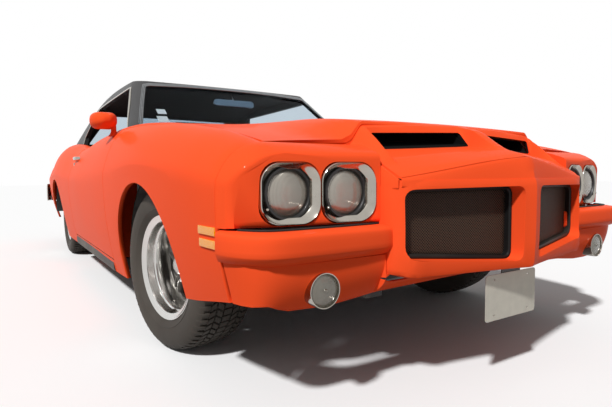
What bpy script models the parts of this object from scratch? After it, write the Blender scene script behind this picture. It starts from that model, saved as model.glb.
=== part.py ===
"""Two-door hardtop muscle car, metres, front at -Y, +X is the car's left, wheels on z = 0.

The body sides, hood, nose and greenhouse are lofts through short tables of sections.
Each wheel, door, lid and steered hub has its own joint axis.
"""
import bpy
import bmesh
from math import cos, pi, radians, sin
from mathutils import Matrix, Vector
from mathutils.bvhtree import BVHTree

for item in list(bpy.data.objects):
    bpy.data.objects.remove(item, do_unlink=True)

# Overall size
LENGTH = 5.164
FRONT_Y = -LENGTH / 2
REAR_Y = LENGTH / 2
WHEELBASE = 2.845
FRONT_OVERHANG = 1.045
FRONT_AXLE_Y = FRONT_Y + FRONT_OVERHANG
REAR_AXLE_Y = FRONT_AXLE_Y + WHEELBASE

# Wheels
TYRE_RADIUS = 0.330
TYRE_WIDTH = 0.236
TYRE_SEGMENTS = 36
RIM_RADIUS = 0.1905
RIM_LIP_RADIUS = 0.208
RIM_WIDTH = 0.190
RIM_SEGMENTS = TYRE_SEGMENTS
SPOKES = 5
FRONT_HALF_TRACK = 0.7745
REAR_HALF_TRACK = 0.762
AXLE_Z = TYRE_RADIUS * cos(pi / TYRE_SEGMENTS)
STEER_AXIS_X = 0.700
STEER_AT_REST = radians(9.5)

# Gaps
FIT = 0.0003
SHUT_GAP = 0.005

# Panels
FENDER_SKIN = 0.010
QUARTER_SKIN = 0.024
HOOD_THICKNESS = 0.022
HOOD_LIP_THICKNESS = 0.006
TRUNK_THICKNESS = 0.022
PILLAR_THICKNESS = 0.028
GLASS_THICKNESS = 0.006
GLASS_SET_IN = 0.006

# Shut lines along the car
FENDER_FRONT_Y = -2.262
DOOR_FRONT_Y = -0.905
DOOR_REAR_Y = 0.400
DOOR_BOTTOM_Z = 0.272
HOOD_REAR_Y = -0.815
TRUNK_FRONT_Y = 1.585
TRUNK_REAR_Y = 2.425
TRUNK_HALF_WIDTH = 0.650
TAIL_Y = 2.488
PILLAR_END_Y = 1.580

# Wheel arches
ARCH_HALF_LENGTH = 0.405
ARCH_HEIGHT = 0.352
ARCH_CENTRE_Z = 0.312
ARCH_SEGMENTS = 36

# Body side, half widths: top edge, shoulder control, crease, belly control and bottom edge of each section
SIDE_COLUMNS = ("y", "xt", "zt", "xs", "zs", "xc", "zc", "xl", "zl", "xb", "zb")
SIDE_TABLE = (
    (-2.370, 0.800, 0.742, 0.895, 0.738, 0.918, 0.660, 0.935, 0.540, 0.900, 0.360),
    (-2.250, 0.803, 0.785, 0.900, 0.780, 0.940, 0.676, 0.950, 0.520, 0.905, 0.345),
    (-2.000, 0.808, 0.840, 0.905, 0.838, 0.960, 0.706, 0.962, 0.500, 0.912, 0.300),
    (-1.500, 0.815, 0.905, 0.920, 0.903, 0.973, 0.736, 0.975, 0.480, 0.918, 0.235),
    (-0.900, 0.805, 0.945, 0.915, 0.940, 0.970, 0.706, 0.976, 0.470, 0.915, 0.205),
    (-0.200, 0.793, 0.938, 0.905, 0.930, 0.968, 0.682, 0.974, 0.460, 0.912, 0.200),
    (0.400, 0.793, 0.905, 0.905, 0.900, 0.969, 0.680, 0.974, 0.460, 0.912, 0.200),
    (0.900, 0.770, 0.950, 0.910, 0.945, 0.972, 0.700, 0.975, 0.470, 0.915, 0.205),
    (1.300, 0.770, 0.972, 0.915, 0.962, 0.973, 0.706, 0.974, 0.480, 0.915, 0.240),
    (1.800, 0.6553, 0.942, 0.895, 0.930, 0.961, 0.680, 0.958, 0.480, 0.900, 0.310),
    (2.250, 0.6553, 0.882, 0.860, 0.872, 0.928, 0.655, 0.925, 0.500, 0.870, 0.345),
    (2.500, 0.6553, 0.838, 0.830, 0.828, 0.892, 0.645, 0.890, 0.510, 0.840, 0.370),
)
SIDE_STEPS = 5

# Greenhouse, rings from the base to the roof's ridge
RING_TABLE = (
    (0.776, -0.790, 0.090, 1.578, -0.025, 0.050, 0.912, 0.880, 0.930),
    (0.776, -0.765, 0.090, 1.545, -0.035, 0.060, 0.955, 0.915, 0.968),
    (0.722, -0.535, 0.075, 1.285, -0.050, 0.100, 1.115, 1.115, 1.110),
    (0.655, -0.325, 0.050, 1.035, -0.045, 0.090, 1.262, 1.270, 1.232),
    (0.610, -0.270, 0.040, 0.970, -0.040, 0.080, 1.287, 1.305, 1.252),
    (0.420, -0.150, 0.025, 0.860, -0.030, 0.080, 1.303, 1.326, 1.272),
    (0.160, -0.020, 0.010, 0.720, -0.010, 0.050, 1.311, 1.332, 1.288),
)
ROOF_MIDDLE_Y = 0.25

# Side window, windscreen and rear window openings
SIDE_WINDOW_YZ = ((-0.600, 0.860), (-0.585, 0.960), (-0.245, 1.243), (0.760, 1.228), (0.985, 1.010),
                  (0.985, 0.860))
WINDSCREEN_XZ = ((0.700, 0.985), (0.590, 1.246))
WINDSCREEN_TOP_Z = 1.258
REAR_WINDOW_XZ = ((0.655, 1.000), (0.560, 1.208))
REAR_WINDOW_TOP_Z = 1.216

# Colours
ORANGE = (0.85, 0.09, 0.02)
VINYL = (0.02, 0.02, 0.022)
BLACK = (0.012, 0.012, 0.013)
RUBBER = (0.02, 0.018, 0.017)
CHROME = (0.75, 0.76, 0.78)
STEEL = (0.12, 0.12, 0.12)
GLASS = (0.25, 0.32, 0.33)

PARTS = bpy.data.collections.new("muscle_car")
CUTTERS = bpy.data.collections.new("cutters")
bpy.context.scene.collection.children.link(PARTS)
bpy.context.scene.collection.children.link(CUTTERS)


def material(name, colour, roughness, metallic=0.0):
    found = bpy.data.materials.get(name)
    if found:
        return found
    made = bpy.data.materials.new(name)
    made.use_nodes = True
    shader = made.node_tree.nodes["Principled BSDF"]
    shader.inputs["Base Color"].default_value = (*colour, 1.0)
    shader.inputs["Roughness"].default_value = roughness
    shader.inputs["Metallic"].default_value = metallic
    return made


def part_object(name, mesh, look, parent=None):
    made = bpy.data.objects.new(name, mesh)
    PARTS.objects.link(made)
    mesh.materials.append(material(name + "_material", *look))
    if parent is not None:
        made.parent = parent
    return made


def cutter_object(name, mesh, parent=None):
    made = bpy.data.objects.new(name, mesh)
    CUTTERS.objects.link(made)
    made.hide_render = True
    made.display_type = "WIRE"
    if parent is not None:
        made.parent = parent
    return made


def boolean(target, cutter, operation="DIFFERENCE"):
    modifier = target.modifiers.new(operation.lower(), "BOOLEAN")
    modifier.operation = operation
    modifier.object = cutter
    modifier.solver = "EXACT"
    return modifier


def empty(name, place, parent=None):
    made = bpy.data.objects.new(name, None)
    PARTS.objects.link(made)
    made.location = place
    if parent is not None:
        made.parent = parent
    return made


def mesh_of(name, points, faces):
    mesh = bpy.data.meshes.new(name)
    mesh.from_pydata([tuple(p) for p in points], [], faces)
    tidy = bmesh.new()
    tidy.from_mesh(mesh)
    bmesh.ops.recalc_face_normals(tidy, faces=tidy.faces)
    tidy.to_mesh(mesh)
    tidy.free()
    return mesh


def loft_mesh(name, rings):
    """Closed rings of equal length joined in order, with a flat cap at each end."""
    count = len(rings[0])
    points = [p for ring in rings for p in ring]
    faces = [tuple(range(count)), tuple(range(len(points) - count, len(points)))]
    for row in range(len(rings) - 1):
        for i in range(count):
            j = (i + 1) % count
            faces.append((row * count + i, row * count + j, (row + 1) * count + j, (row + 1) * count + i))
    return mesh_of(name, points, faces)


def slab_mesh(name, outer, inner):
    """Two open grids of equal size, outside and inside, joined round their border."""
    rows = len(outer)
    columns = len(outer[0])
    size = rows * columns
    points = [p for row in outer for p in row] + [p for row in inner for p in row]
    faces = []
    for r in range(rows - 1):
        for c in range(columns - 1):
            a = r * columns + c
            quad = (a, a + 1, a + columns + 1, a + columns)
            faces.append(quad)
            faces.append(tuple(size + k for k in reversed(quad)))
    border = [c for c in range(columns)]
    border += [r * columns + columns - 1 for r in range(1, rows)]
    border += [(rows - 1) * columns + c for c in range(columns - 2, -1, -1)]
    border += [r * columns for r in range(rows - 2, 0, -1)]
    for k, a in enumerate(border):
        b = border[(k + 1) % len(border)]
        faces.append((a, b, size + b, size + a))
    return mesh_of(name, points, faces)


def box_mesh(name, low, high):
    corners = [(x, y) for x, y in ((low[0], low[1]), (high[0], low[1]), (high[0], high[1]),
                                   (low[0], high[1]))]
    return loft_mesh(name, [[(x, y, low[2]) for x, y in corners], [(x, y, high[2]) for x, y in corners]])


def prism_mesh(name, outline, axis, low, high):
    """A flat outline pushed along one axis; its pairs are the other two axes in X, Y, Z order."""
    rings = []
    for depth in (low, high):
        ring = []
        for a, b in outline:
            point = [a, b]
            point.insert(axis, depth)
            ring.append(tuple(point))
        rings.append(ring)
    return loft_mesh(name, rings)


def turned_mesh(name, profile, segments, phase=0.0):
    """A closed (radius, along) profile turned round the X axis."""
    rings = []
    for k in range(segments):
        angle = 2 * pi * k / segments + phase
        rings.append([(along, radius * cos(angle), radius * sin(angle)) for radius, along in profile])
    count = len(profile)
    points = [p for ring in rings for p in ring]
    faces = []
    for k in range(segments):
        for i in range(count):
            j = (i + 1) % count
            n = (k + 1) % segments
            faces.append((k * count + i, k * count + j, n * count + j, n * count + i))
    return mesh_of(name, points, faces)


def disc_mesh(name, stations, segments, phase=0.0):
    """A solid of circles along X, each station a (radius, along) pair."""
    rings = []
    for radius, along in stations:
        ring = []
        for k in range(segments):
            angle = 2 * pi * k / segments + phase
            ring.append((along, radius * cos(angle), radius * sin(angle)))
        rings.append(ring)
    return loft_mesh(name, rings)


def fuse(target, meshes):
    for k, mesh in enumerate(meshes):
        added = cutter_object(target.name + "_added_%d" % k, mesh, target.parent)
        added.location = target.location
        boolean(target, added, "UNION")
    return target


def cut(target, meshes):
    for k, mesh in enumerate(meshes):
        taken = cutter_object(target.name + "_cut_%d" % k, mesh, target.parent)
        taken.location = target.location
        boolean(target, taken)
    return target


def tree_of(mesh, shift=(0, 0, 0)):
    """A search tree over a mesh's faces, moved by shift."""
    points = [vertex.co + Vector(shift) for vertex in mesh.vertices]
    return BVHTree.FromPolygons(points, [tuple(face.vertices) for face in mesh.polygons])


def reach(tree, x, y, z, half, up=1):
    """Height of the first face above (or below) a small square footprint, at its nearest corner."""
    heights = []
    for dx in (-half, 0, half):
        for dy in (-half, 0, half):
            hit = tree.ray_cast(Vector((x + dx, y + dy, z)), Vector((0, 0, up)))
            if hit[0] is not None:
                heights.append(hit[0].z)
    return min(heights) if up > 0 else max(heights)


def post_mesh(name, x, y, low, high, half):
    return box_mesh(name, (x - half, y - half, low), (x + half, y + half, high))


def mirrored(points, side):
    return [(side * x, y, z) for x, y, z in points]


def read_row(table, columns, y):
    """The table's columns at y, by a cubic through the neighbouring rows."""
    rows = [row for row in table]
    k = 0
    while k < len(rows) - 2 and y > rows[k + 1][0]:
        k += 1
    before = rows[max(k - 1, 0)]
    here = rows[k]
    there = rows[k + 1]
    after = rows[min(k + 2, len(rows) - 1)]
    span = there[0] - here[0]
    t = (y - here[0]) / span
    values = {}
    for c, name in enumerate(columns):
        slope_a = (there[c] - before[c]) / (there[0] - before[0])
        slope_b = (after[c] - here[c]) / (after[0] - here[0])
        a = (2 * t ** 3 - 3 * t ** 2 + 1) * here[c] + (t ** 3 - 2 * t ** 2 + t) * span * slope_a
        b = (-2 * t ** 3 + 3 * t ** 2) * there[c] + (t ** 3 - t ** 2) * span * slope_b
        values[name] = a + b
    return values


def clip_below(points, low_z):
    """The points above low_z, with one more where the line crosses it."""
    kept = [points[0]]
    for before, after in zip(points, points[1:]):
        if after[1] <= low_z:
            share = (before[1] - low_z) / (before[1] - after[1])
            kept.append((before[0] + (after[0] - before[0]) * share, low_z))
            return kept
        kept.append(after)
    return kept


def resample(points, count):
    lengths = [0.0]
    for a, b in zip(points, points[1:]):
        lengths.append(lengths[-1] + ((a[0] - b[0]) ** 2 + (a[1] - b[1]) ** 2) ** 0.5)
    made = []
    for k in range(count + 1):
        want = lengths[-1] * k / count
        i = 0
        while i < len(points) - 2 and lengths[i + 1] < want:
            i += 1
        share = (want - lengths[i]) / (lengths[i + 1] - lengths[i])
        made.append(tuple(points[i][n] + (points[i + 1][n] - points[i][n]) * share for n in (0, 1)))
    return made


def side_section(y, low_z=None):
    """Points of the body side from its top edge to its bottom, as (x, z)."""
    v = read_row(SIDE_TABLE, SIDE_COLUMNS, y)
    if DOOR_REAR_Y < y < PILLAR_END_Y:
        v["xt"] = max(v["xt"], RING_TABLE[0][0] + FIT)
    if y >= PILLAR_END_Y:
        v["xt"] = TRUNK_HALF_WIDTH + SHUT_GAP
    arcs = (
        ((v["xt"], v["zt"]), (v["xs"], v["zs"]), (v["xc"], v["zc"])),
        ((v["xc"], v["zc"]), (v["xl"], v["zl"]), (v["xb"], v["zb"])),
    )
    points = []
    for a, b, c in arcs:
        for k in range(SIDE_STEPS + 1):
            t = k / SIDE_STEPS
            x = (1 - t) ** 2 * a[0] + 2 * t * (1 - t) * b[0] + t * t * c[0]
            z = (1 - t) ** 2 * a[1] + 2 * t * (1 - t) * b[1] + t * t * c[1]
            points.append((x, z))
    del points[SIDE_STEPS]
    if low_z is not None:
        points = resample(clip_below(points, low_z), 2 * SIDE_STEPS)
    return points


def along(low, high, step):
    count = max(1, round((high - low) / step))
    return [low + (high - low) * k / count for k in range(count + 1)]


def skin_behind(section, depth):
    """The section moved inwards along its own normals."""
    made = []
    for k, (x, z) in enumerate(section):
        before = section[max(k - 1, 0)]
        after = section[min(k + 1, len(section) - 1)]
        run_x = after[0] - before[0]
        run_z = after[1] - before[1]
        size = (run_x ** 2 + run_z ** 2) ** 0.5
        made.append((x + run_z / size * depth, z - run_x / size * depth))
    return made


def wall_behind(section, wall_x, drop):
    """An upright inner wall under the top edge, down to the section's bottom."""
    top = section[0][1] - drop
    low = section[-1][1]
    count = len(section) - 1
    return [(wall_x, top + (low - top) * k / count) for k in range(count + 1)]


def side_panel(name, side, stations, inside, low_z=None):
    """Body side over the stations; inside(y, section) gives the inner points."""
    outer = []
    inner = []
    for y in stations:
        section = side_section(y, low_z)
        outer.append([(side * x, y, z) for x, z in section])
        inner.append([(side * x, y, z) for x, z in inside(y, section)])
    return slab_mesh(name, outer, inner)


def arch_cutter(axle_y, side):
    outline = []
    for k in range(ARCH_SEGMENTS):
        angle = 2 * pi * k / ARCH_SEGMENTS
        outline.append((axle_y + ARCH_HALF_LENGTH * cos(angle), ARCH_CENTRE_Z + ARCH_HEIGHT * sin(angle)))
    ends = sorted((side * 0.60, side * 1.10))
    return prism_mesh("arch", outline, 0, ends[0], ends[1])


def sides():
    return (("left", 1), ("right", -1))


PAINT_LOOK = (ORANGE, 0.25)

# Body root empty, the shell that everything is fixed to
BODY = empty("body_root", (0, 0, 0))


# Front fenders
FENDER_TREES = {}
for label, side in sides():
    stations = along(FENDER_FRONT_Y, DOOR_FRONT_Y - SHUT_GAP, 0.11)
    mesh = side_panel("fender", side, stations, lambda y, s: skin_behind(s, FENDER_SKIN))
    FENDER_TREES[side] = tree_of(mesh)
    fender = part_object("front_fender_" + label, mesh, PAINT_LOOK, BODY)
    cut(fender, [arch_cutter(FRONT_AXLE_Y, side)])


# Doors, each hinged at its front edge
DOOR_HINGE_X = 0.966
DOOR_HINGE_Y = DOOR_FRONT_Y + 0.010
DOOR_REAR_TAPER = 0.024
STRIKER_X = 0.950
STRIKER_Z = 0.620
STRIKER_RADIUS = 0.007
DOOR_RABBET = 0.012
HINGES = {}
DOOR_TREES = {}
for label, side in sides():
    hinge = empty("door_hinge_" + label, (side * DOOR_HINGE_X, DOOR_HINGE_Y, DOOR_BOTTOM_Z), BODY)
    HINGES[label] = hinge
    stations = along(DOOR_FRONT_Y, DOOR_REAR_Y, 0.145)

    def door_inside(y, section):
        return wall_behind(section, section[0][0], DOOR_RABBET)

    mesh = side_panel("door", side, stations, door_inside, DOOR_BOTTOM_Z)
    for vertex in mesh.vertices:
        if vertex.co.y > DOOR_REAR_Y - 0.001:
            share = (DOOR_HINGE_X - side * vertex.co.x) / (DOOR_HINGE_X - RING_TABLE[0][0])
            vertex.co.y -= DOOR_REAR_TAPER * max(0.0, share)
    DOOR_TREES[side] = tree_of(mesh)
    mesh.transform(Matrix.Translation((-side * DOOR_HINGE_X, -DOOR_HINGE_Y, -DOOR_BOTTOM_Z)))
    part_object("door_" + label, mesh, PAINT_LOOK, hinge)


# Quarter panels: a thick cabin wall behind the door, then a skin back to the tail
CABIN_WALL_END_Y = 0.885
SILL_JOINT_X = 0.773
for label, side in sides():
    stations = along(DOOR_REAR_Y + SHUT_GAP, CABIN_WALL_END_Y, 0.12)
    stations += [CABIN_WALL_END_Y + 0.002]
    stations += along(CABIN_WALL_END_Y + 0.10, PILLAR_END_Y - 0.001, 0.135)
    stations += along(PILLAR_END_Y + 0.008, TAIL_Y, 0.135)

    def quarter_inside(y, section):
        if y <= CABIN_WALL_END_Y:
            return wall_behind(section, section[0][0], QUARTER_SKIN)
        skin = skin_behind(section, QUARTER_SKIN)
        return [(section[0][0], section[0][1] - QUARTER_SKIN)] + skin[1:]

    mesh = side_panel("quarter", side, stations, quarter_inside)
    quarter = part_object("quarter_panel_" + label, mesh, PAINT_LOOK, BODY)
    cut(quarter, [arch_cutter(REAR_AXLE_Y, side)])
    share = (DOOR_HINGE_X - STRIKER_X - STRIKER_RADIUS) / (DOOR_HINGE_X - RING_TABLE[0][0])
    striker = disc_mesh("striker", ((STRIKER_RADIUS, DOOR_REAR_Y - DOOR_REAR_TAPER * share + 2 * FIT),
                                    (STRIKER_RADIUS, DOOR_REAR_Y + SHUT_GAP + 0.010)), 10)
    striker.transform(Matrix.Translation((side * STRIKER_X, 0, STRIKER_Z)) @ Matrix.Rotation(pi / 2, 4, "Z"))
    sill_ends = sorted((side * (SILL_JOINT_X + FIT), side * (SILL_JOINT_X + 0.017)))
    sill_joint = box_mesh("sill_joint", (sill_ends[0], 0.700, 0.2505), (sill_ends[1], 0.780, 0.2665))
    fuse(quarter, [striker, sill_joint])


# Lamp panels, between the nose and the fenders
NOSE_HALF_X = 0.491
LAMP_PANEL_INNER_X = NOSE_HALF_X + FIT
LAMP_PANEL_BOTTOM_Z = 0.551
LAMP_FACE_Y = -2.385
LAMP_FACE_X = 0.605
LAMP_FACE_SWEEP = 0.17
BEZEL_WIDTH = 0.172
BEZEL_HEIGHT = 0.170
BEZEL_DEPTH = 0.075
LAMP_CENTRE_Z = 0.640
LAMP_X = (0.592, 0.764)
LAMP_RADIUS = 0.073


def lamp_face_y(x):
    return LAMP_FACE_Y + (x - LAMP_FACE_X) * LAMP_FACE_SWEEP + max(0.0, x - 0.86) ** 2 * 6.0


def lamp_panel_ring(depth, inset):
    """Outline of the panel seen from the front, depth behind its face."""
    section = resample(clip_below(side_section(FENDER_FRONT_Y), LAMP_PANEL_BOTTOM_Z), 9)
    drop = 0.035 * (1 - depth)
    outline = [(LAMP_PANEL_INNER_X, section[0][1] - drop - inset), (0.65, section[0][1] - drop - inset)]
    outline += [(x - 0.012 * (1 - depth) - inset, z - drop * (1 if k < 4 else 0.3))
                for k, (x, z) in enumerate(section)]
    outline[-1] = (outline[-1][0], LAMP_PANEL_BOTTOM_Z + inset)
    outline += [(0.70, LAMP_PANEL_BOTTOM_Z + inset), (LAMP_PANEL_INNER_X, LAMP_PANEL_BOTTOM_Z + inset)]
    back = FENDER_FRONT_Y - SHUT_GAP
    return [(x, lamp_face_y(x) + (back - lamp_face_y(x)) * depth, z) for x, z in outline]


for label, side in sides():
    rings = [mirrored(lamp_panel_ring(depth, inset), side)
             for depth, inset in ((0.0, 0.008), (0.12, 0.0), (1.0, 0.0))]
    panel = part_object("lamp_panel_" + label, loft_mesh("lamp_panel", rings), PAINT_LOOK, BODY)
    low_x = LAMP_X[0] - BEZEL_WIDTH / 2
    high_x = LAMP_X[1] + BEZEL_WIDTH / 2
    low = (min(side * low_x, side * high_x), -2.60, LAMP_CENTRE_Z - BEZEL_HEIGHT / 2)
    high = (max(side * low_x, side * high_x), -2.20, LAMP_CENTRE_Z + BEZEL_HEIGHT / 2)
    cut(panel, [box_mesh("bezel_hole", low, high)])


# Headlamp pairs: two square bezels in one casting, each with a round lamp in it
def rounded_square(centre_x, centre_z, width, height, corner, steps=3):
    outline = []
    for quarter, (sx, sz) in enumerate(((1, 1), (-1, 1), (-1, -1), (1, -1))):
        for k in range(steps + 1):
            angle = pi / 2 * (quarter + k / steps)
            x = centre_x + sx * (width / 2 - corner) + corner * cos(angle)
            z = centre_z + sz * (height / 2 - corner) + corner * sin(angle)
            outline.append((x, z))
    return outline


def lamp_bowl(x, z, radius, face_y, depth, segments=20):
    """A round recess opening towards -Y."""
    rings = []
    for r, back in ((radius, -0.05), (radius, depth)):
        rings.append([(x + r * cos(2 * pi * k / segments), face_y + back, z + r * sin(2 * pi * k / segments))
                      for k in range(segments)])
    return loft_mesh("bowl", rings)


for label, side in sides():
    low_x = LAMP_X[0] - BEZEL_WIDTH / 2 + FIT
    high_x = LAMP_X[1] + BEZEL_WIDTH / 2 - FIT
    low_z = LAMP_CENTRE_Z - BEZEL_HEIGHT / 2 + FIT
    high_z = LAMP_CENTRE_Z + BEZEL_HEIGHT / 2 - FIT
    rings = []
    for push, inset in ((-0.010, 0.012), (-0.002, 0.0), (BEZEL_DEPTH, 0.0)):
        ring = []
        for x, z in ((low_x + inset, low_z + inset), (high_x - inset, low_z + inset),
                     (high_x - inset, high_z - inset), (low_x + inset, high_z - inset)):
            ring.append((side * x, lamp_face_y(x) + push, z))
        rings.append(ring)
    lamps = part_object("headlamps_" + label, loft_mesh("bezels", rings), (CHROME, 0.2, 0.9), BODY)
    bowls = [lamp_bowl(side * x, LAMP_CENTRE_Z, LAMP_RADIUS, lamp_face_y(x), 0.022) for x in LAMP_X]
    cut(lamps, bowls)
    lenses = []
    for x in LAMP_X:
        dome = disc_mesh("lens", ((0.066, 0.05), (0.066, -0.022), (0.045, -0.028)), 20)
        dome.transform(Matrix.Translation((side * x, lamp_face_y(x) + 0.030, LAMP_CENTRE_Z))
                       @ Matrix.Rotation(pi / 2, 4, "Z"))
        lenses.append(dome)
    fuse(lamps, lenses)


# Nose: a deep moulding with a prow in the middle and two grille openings, joined to bumper bars at its sides
PROW_Y = FRONT_Y
INNER_FRONT_Y = -2.235
NOSE_BACK_Y = INNER_FRONT_Y - FIT
NOSE_BOTTOM_Z = 0.404
NOSE_LEVELS = (
    # z, prow set back, front y where it turns at x 0.44, outer y, outer x
    (NOSE_BOTTOM_Z, 0.020, -2.478, -2.400, NOSE_HALF_X - 0.001),
    (0.422, 0.004, -2.492, -2.412, NOSE_HALF_X),
    (0.540, 0.000, -2.492, -2.412, NOSE_HALF_X),
    (0.650, 0.000, -2.488, -2.408, NOSE_HALF_X),
    (0.672, 0.006, -2.480, -2.402, 0.486),
)
GRILLE_INNER_X = 0.042
GRILLE_OUTER_X = 0.448
GRILLE_Z = (0.436, 0.640)
GRILLE_OUTER_Z = (0.462, 0.634)
GRILLE_RECESS = 0.045


def nose_front_y(x):
    """Front face of the nose at mid height, from the prow out to its corner."""
    x = abs(x)
    return PROW_Y + 0.092 * min(x / 0.44, 1.0) ** 0.85


rings = []
for z, back, turn_y, outer_y, outer_x in NOSE_LEVELS:
    half = [(0.0, PROW_Y + back)]
    for x in (0.06, 0.18, 0.31):
        half.append((x, nose_front_y(x) + back))
    half += [(0.43, turn_y), (0.475, turn_y + 0.028), (outer_x, outer_y), (outer_x, NOSE_BACK_Y)]
    ring = half + [(-x, y) for x, y in reversed(half[1:])]
    rings.append([(x, y, z) for x, y in ring])
nose = part_object("nose", loft_mesh("nose", rings), PAINT_LOOK, BODY)


def grille_outline(side, grow):
    points = [
        (GRILLE_INNER_X - grow, GRILLE_Z[0] - grow), (GRILLE_OUTER_X + grow, GRILLE_OUTER_Z[0] - grow),
        (GRILLE_OUTER_X + grow, GRILLE_OUTER_Z[1] + grow), (GRILLE_INNER_X - grow, GRILLE_Z[1] + grow),
    ]
    return [(side * x, z) for x, z in points]


openings = [prism_mesh("grille_hole", grille_outline(side, 0.0), 1, -2.70, -2.20) for label, side in sides()]
cut(nose, openings)

BUMPER_TOP_Z = 0.546
BUMPER_BOTTOM_Z = 0.462
BUMPER_PATH = (
    # x, y of the outer face, depth behind it
    (0.460, -2.440, 0.060),
    (0.520, -2.452, 0.060),
    (0.700, -2.452, 0.060),
    (0.820, -2.446, 0.060),
    (0.875, -2.428, 0.060),
    (0.915, -2.385, 0.055),
    (0.938, -2.330, 0.045),
    (0.946, -2.272, 0.030),
)


def bumper_mesh(side):
    rings = []
    for k, (x, y, depth) in enumerate(BUMPER_PATH):
        before = BUMPER_PATH[max(k - 1, 0)]
        after = BUMPER_PATH[min(k + 1, len(BUMPER_PATH) - 1)]
        run = Vector((after[0] - before[0], after[1] - before[1])).normalized()
        inward = Vector((-run.y, run.x))
        ring = []
        for back, z in ((0.010, BUMPER_BOTTOM_Z), (0.0, BUMPER_BOTTOM_Z + 0.014), (0.0, BUMPER_TOP_Z - 0.016),
                        (0.012, BUMPER_TOP_Z), (depth, BUMPER_TOP_Z), (depth, BUMPER_BOTTOM_Z)):
            ring.append((side * (x + inward.x * back), y + inward.y * back, z))
        rings.append(ring)
    return loft_mesh("bumper", rings)


fuse(nose, [bumper_mesh(side) for label, side in sides()])


# Front valance under the bumper, with its round lamps and two slots
VALANCE_SKIN = 0.012
VALANCE_PATH = (
    # x, y at the top, bottom z, top z
    (0.000, -2.440, 0.352, NOSE_BOTTOM_Z - FIT),
    (0.200, -2.440, 0.350, NOSE_BOTTOM_Z - FIT),
    (0.480, -2.432, 0.342, NOSE_BOTTOM_Z - FIT),
    (0.493, -2.432, 0.341, NOSE_BOTTOM_Z - FIT),
    (0.496, -2.432, 0.341, BUMPER_BOTTOM_Z - FIT),
    (0.620, -2.428, 0.328, BUMPER_BOTTOM_Z - FIT),
    (0.780, -2.420, 0.328, BUMPER_BOTTOM_Z - FIT),
    (0.860, -2.400, 0.352, BUMPER_BOTTOM_Z - FIT),
    (0.905, -2.355, 0.350, BUMPER_BOTTOM_Z - FIT),
    (0.925, -2.272, 0.346, BUMPER_BOTTOM_Z - FIT),
)
VALANCE_TUCK = 0.055
VALANCE_LAMP_X = 0.703
VALANCE_LAMP_Z = 0.384
VALANCE_LAMP_RADIUS = 0.048
SLOT_X = (0.130, 0.500)
SLOT_Z = (0.378, 0.402)
outer = []
inner = []
for x, y, low, top in [(-x, *rest) for x, *rest in reversed(VALANCE_PATH[1:])] + list(VALANCE_PATH):
    row_out = []
    row_in = []
    for k in range(5):
        t = k / 4
        z = top + (low - top) * t
        wrap = max(0.0, min(1.0, (abs(x) - 0.78) / 0.14))
        back = VALANCE_TUCK * t * t * (1 - wrap)
        lean = 1.0 - 0.03 * t * wrap
        row_out.append((x * lean, y + back, z))
        inset = (abs(x) - VALANCE_SKIN * wrap) / max(abs(x), 0.001)
        row_in.append((x * lean * inset, y + back + VALANCE_SKIN * (1 - wrap), z))
    outer.append(row_out)
    inner.append(row_in)
valance = part_object("front_valance", slab_mesh("valance", outer, inner), PAINT_LOOK, BODY)
slots = []
for label, side in sides():
    ends = sorted((side * SLOT_X[0], side * SLOT_X[1]))
    slots.append(box_mesh("slot", (ends[0], -2.60, SLOT_Z[0]), (ends[1], -2.30, SLOT_Z[1])))
cut(valance, slots)
lamps = []
for label, side in sides():
    lamp = disc_mesh("lamp", ((0.030, -0.024), (0.040, -0.020), (VALANCE_LAMP_RADIUS, -0.012),
                              (VALANCE_LAMP_RADIUS, 0.050)), 18)
    lamp.transform(Matrix.Translation((side * VALANCE_LAMP_X, -2.412,
                                       VALANCE_LAMP_Z)) @ Matrix.Rotation(pi / 2, 4, "Z"))
    lamps.append(lamp)
fuse(valance, lamps)


# Grilles, a frame with a mesh panel behind it in each opening
GRILLE_FRAME = 0.016
GRILLE_PANEL = 0.006
for label, side in sides():
    def grille_plate(grow, front, back):
        rings = []
        for push in (front, back):
            rings.append([(x, nose_front_y(x) + push, z) for x, z in grille_outline(side, grow)])
        return loft_mesh("grille", rings)

    grille = part_object("grille_" + label, grille_plate(-FIT, GRILLE_RECESS, GRILLE_RECESS + 0.026),
                         (BLACK, 0.5), BODY)
    cut(grille, [grille_plate(-GRILLE_FRAME, GRILLE_RECESS - 0.02, GRILLE_RECESS + 0.026 - GRILLE_PANEL)])


# Blank plate hung under the nose on its bracket
PLATE_HALF_WIDTH = 0.134
PLATE_Z = (0.216, 0.366)
PLATE_Y = -2.500
plate = box_mesh("plate", (-PLATE_HALF_WIDTH, PLATE_Y, PLATE_Z[0]),
                 (PLATE_HALF_WIDTH, PLATE_Y + 0.003, PLATE_Z[1]))
plate = part_object("front_plate", plate, ((0.45, 0.43, 0.38), 0.6, 0.3), BODY)
bracket = prism_mesh("bracket", (
    (PLATE_Y + 0.0025, 0.300), (PLATE_Y + 0.006, 0.300), (PLATE_Y + 0.006, 0.396), (-2.455, 0.396),
    (-2.455, 0.4037), (PLATE_Y + 0.0025, 0.4037)), 0, -0.05, 0.05)
fuse(plate, [bracket])


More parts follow.
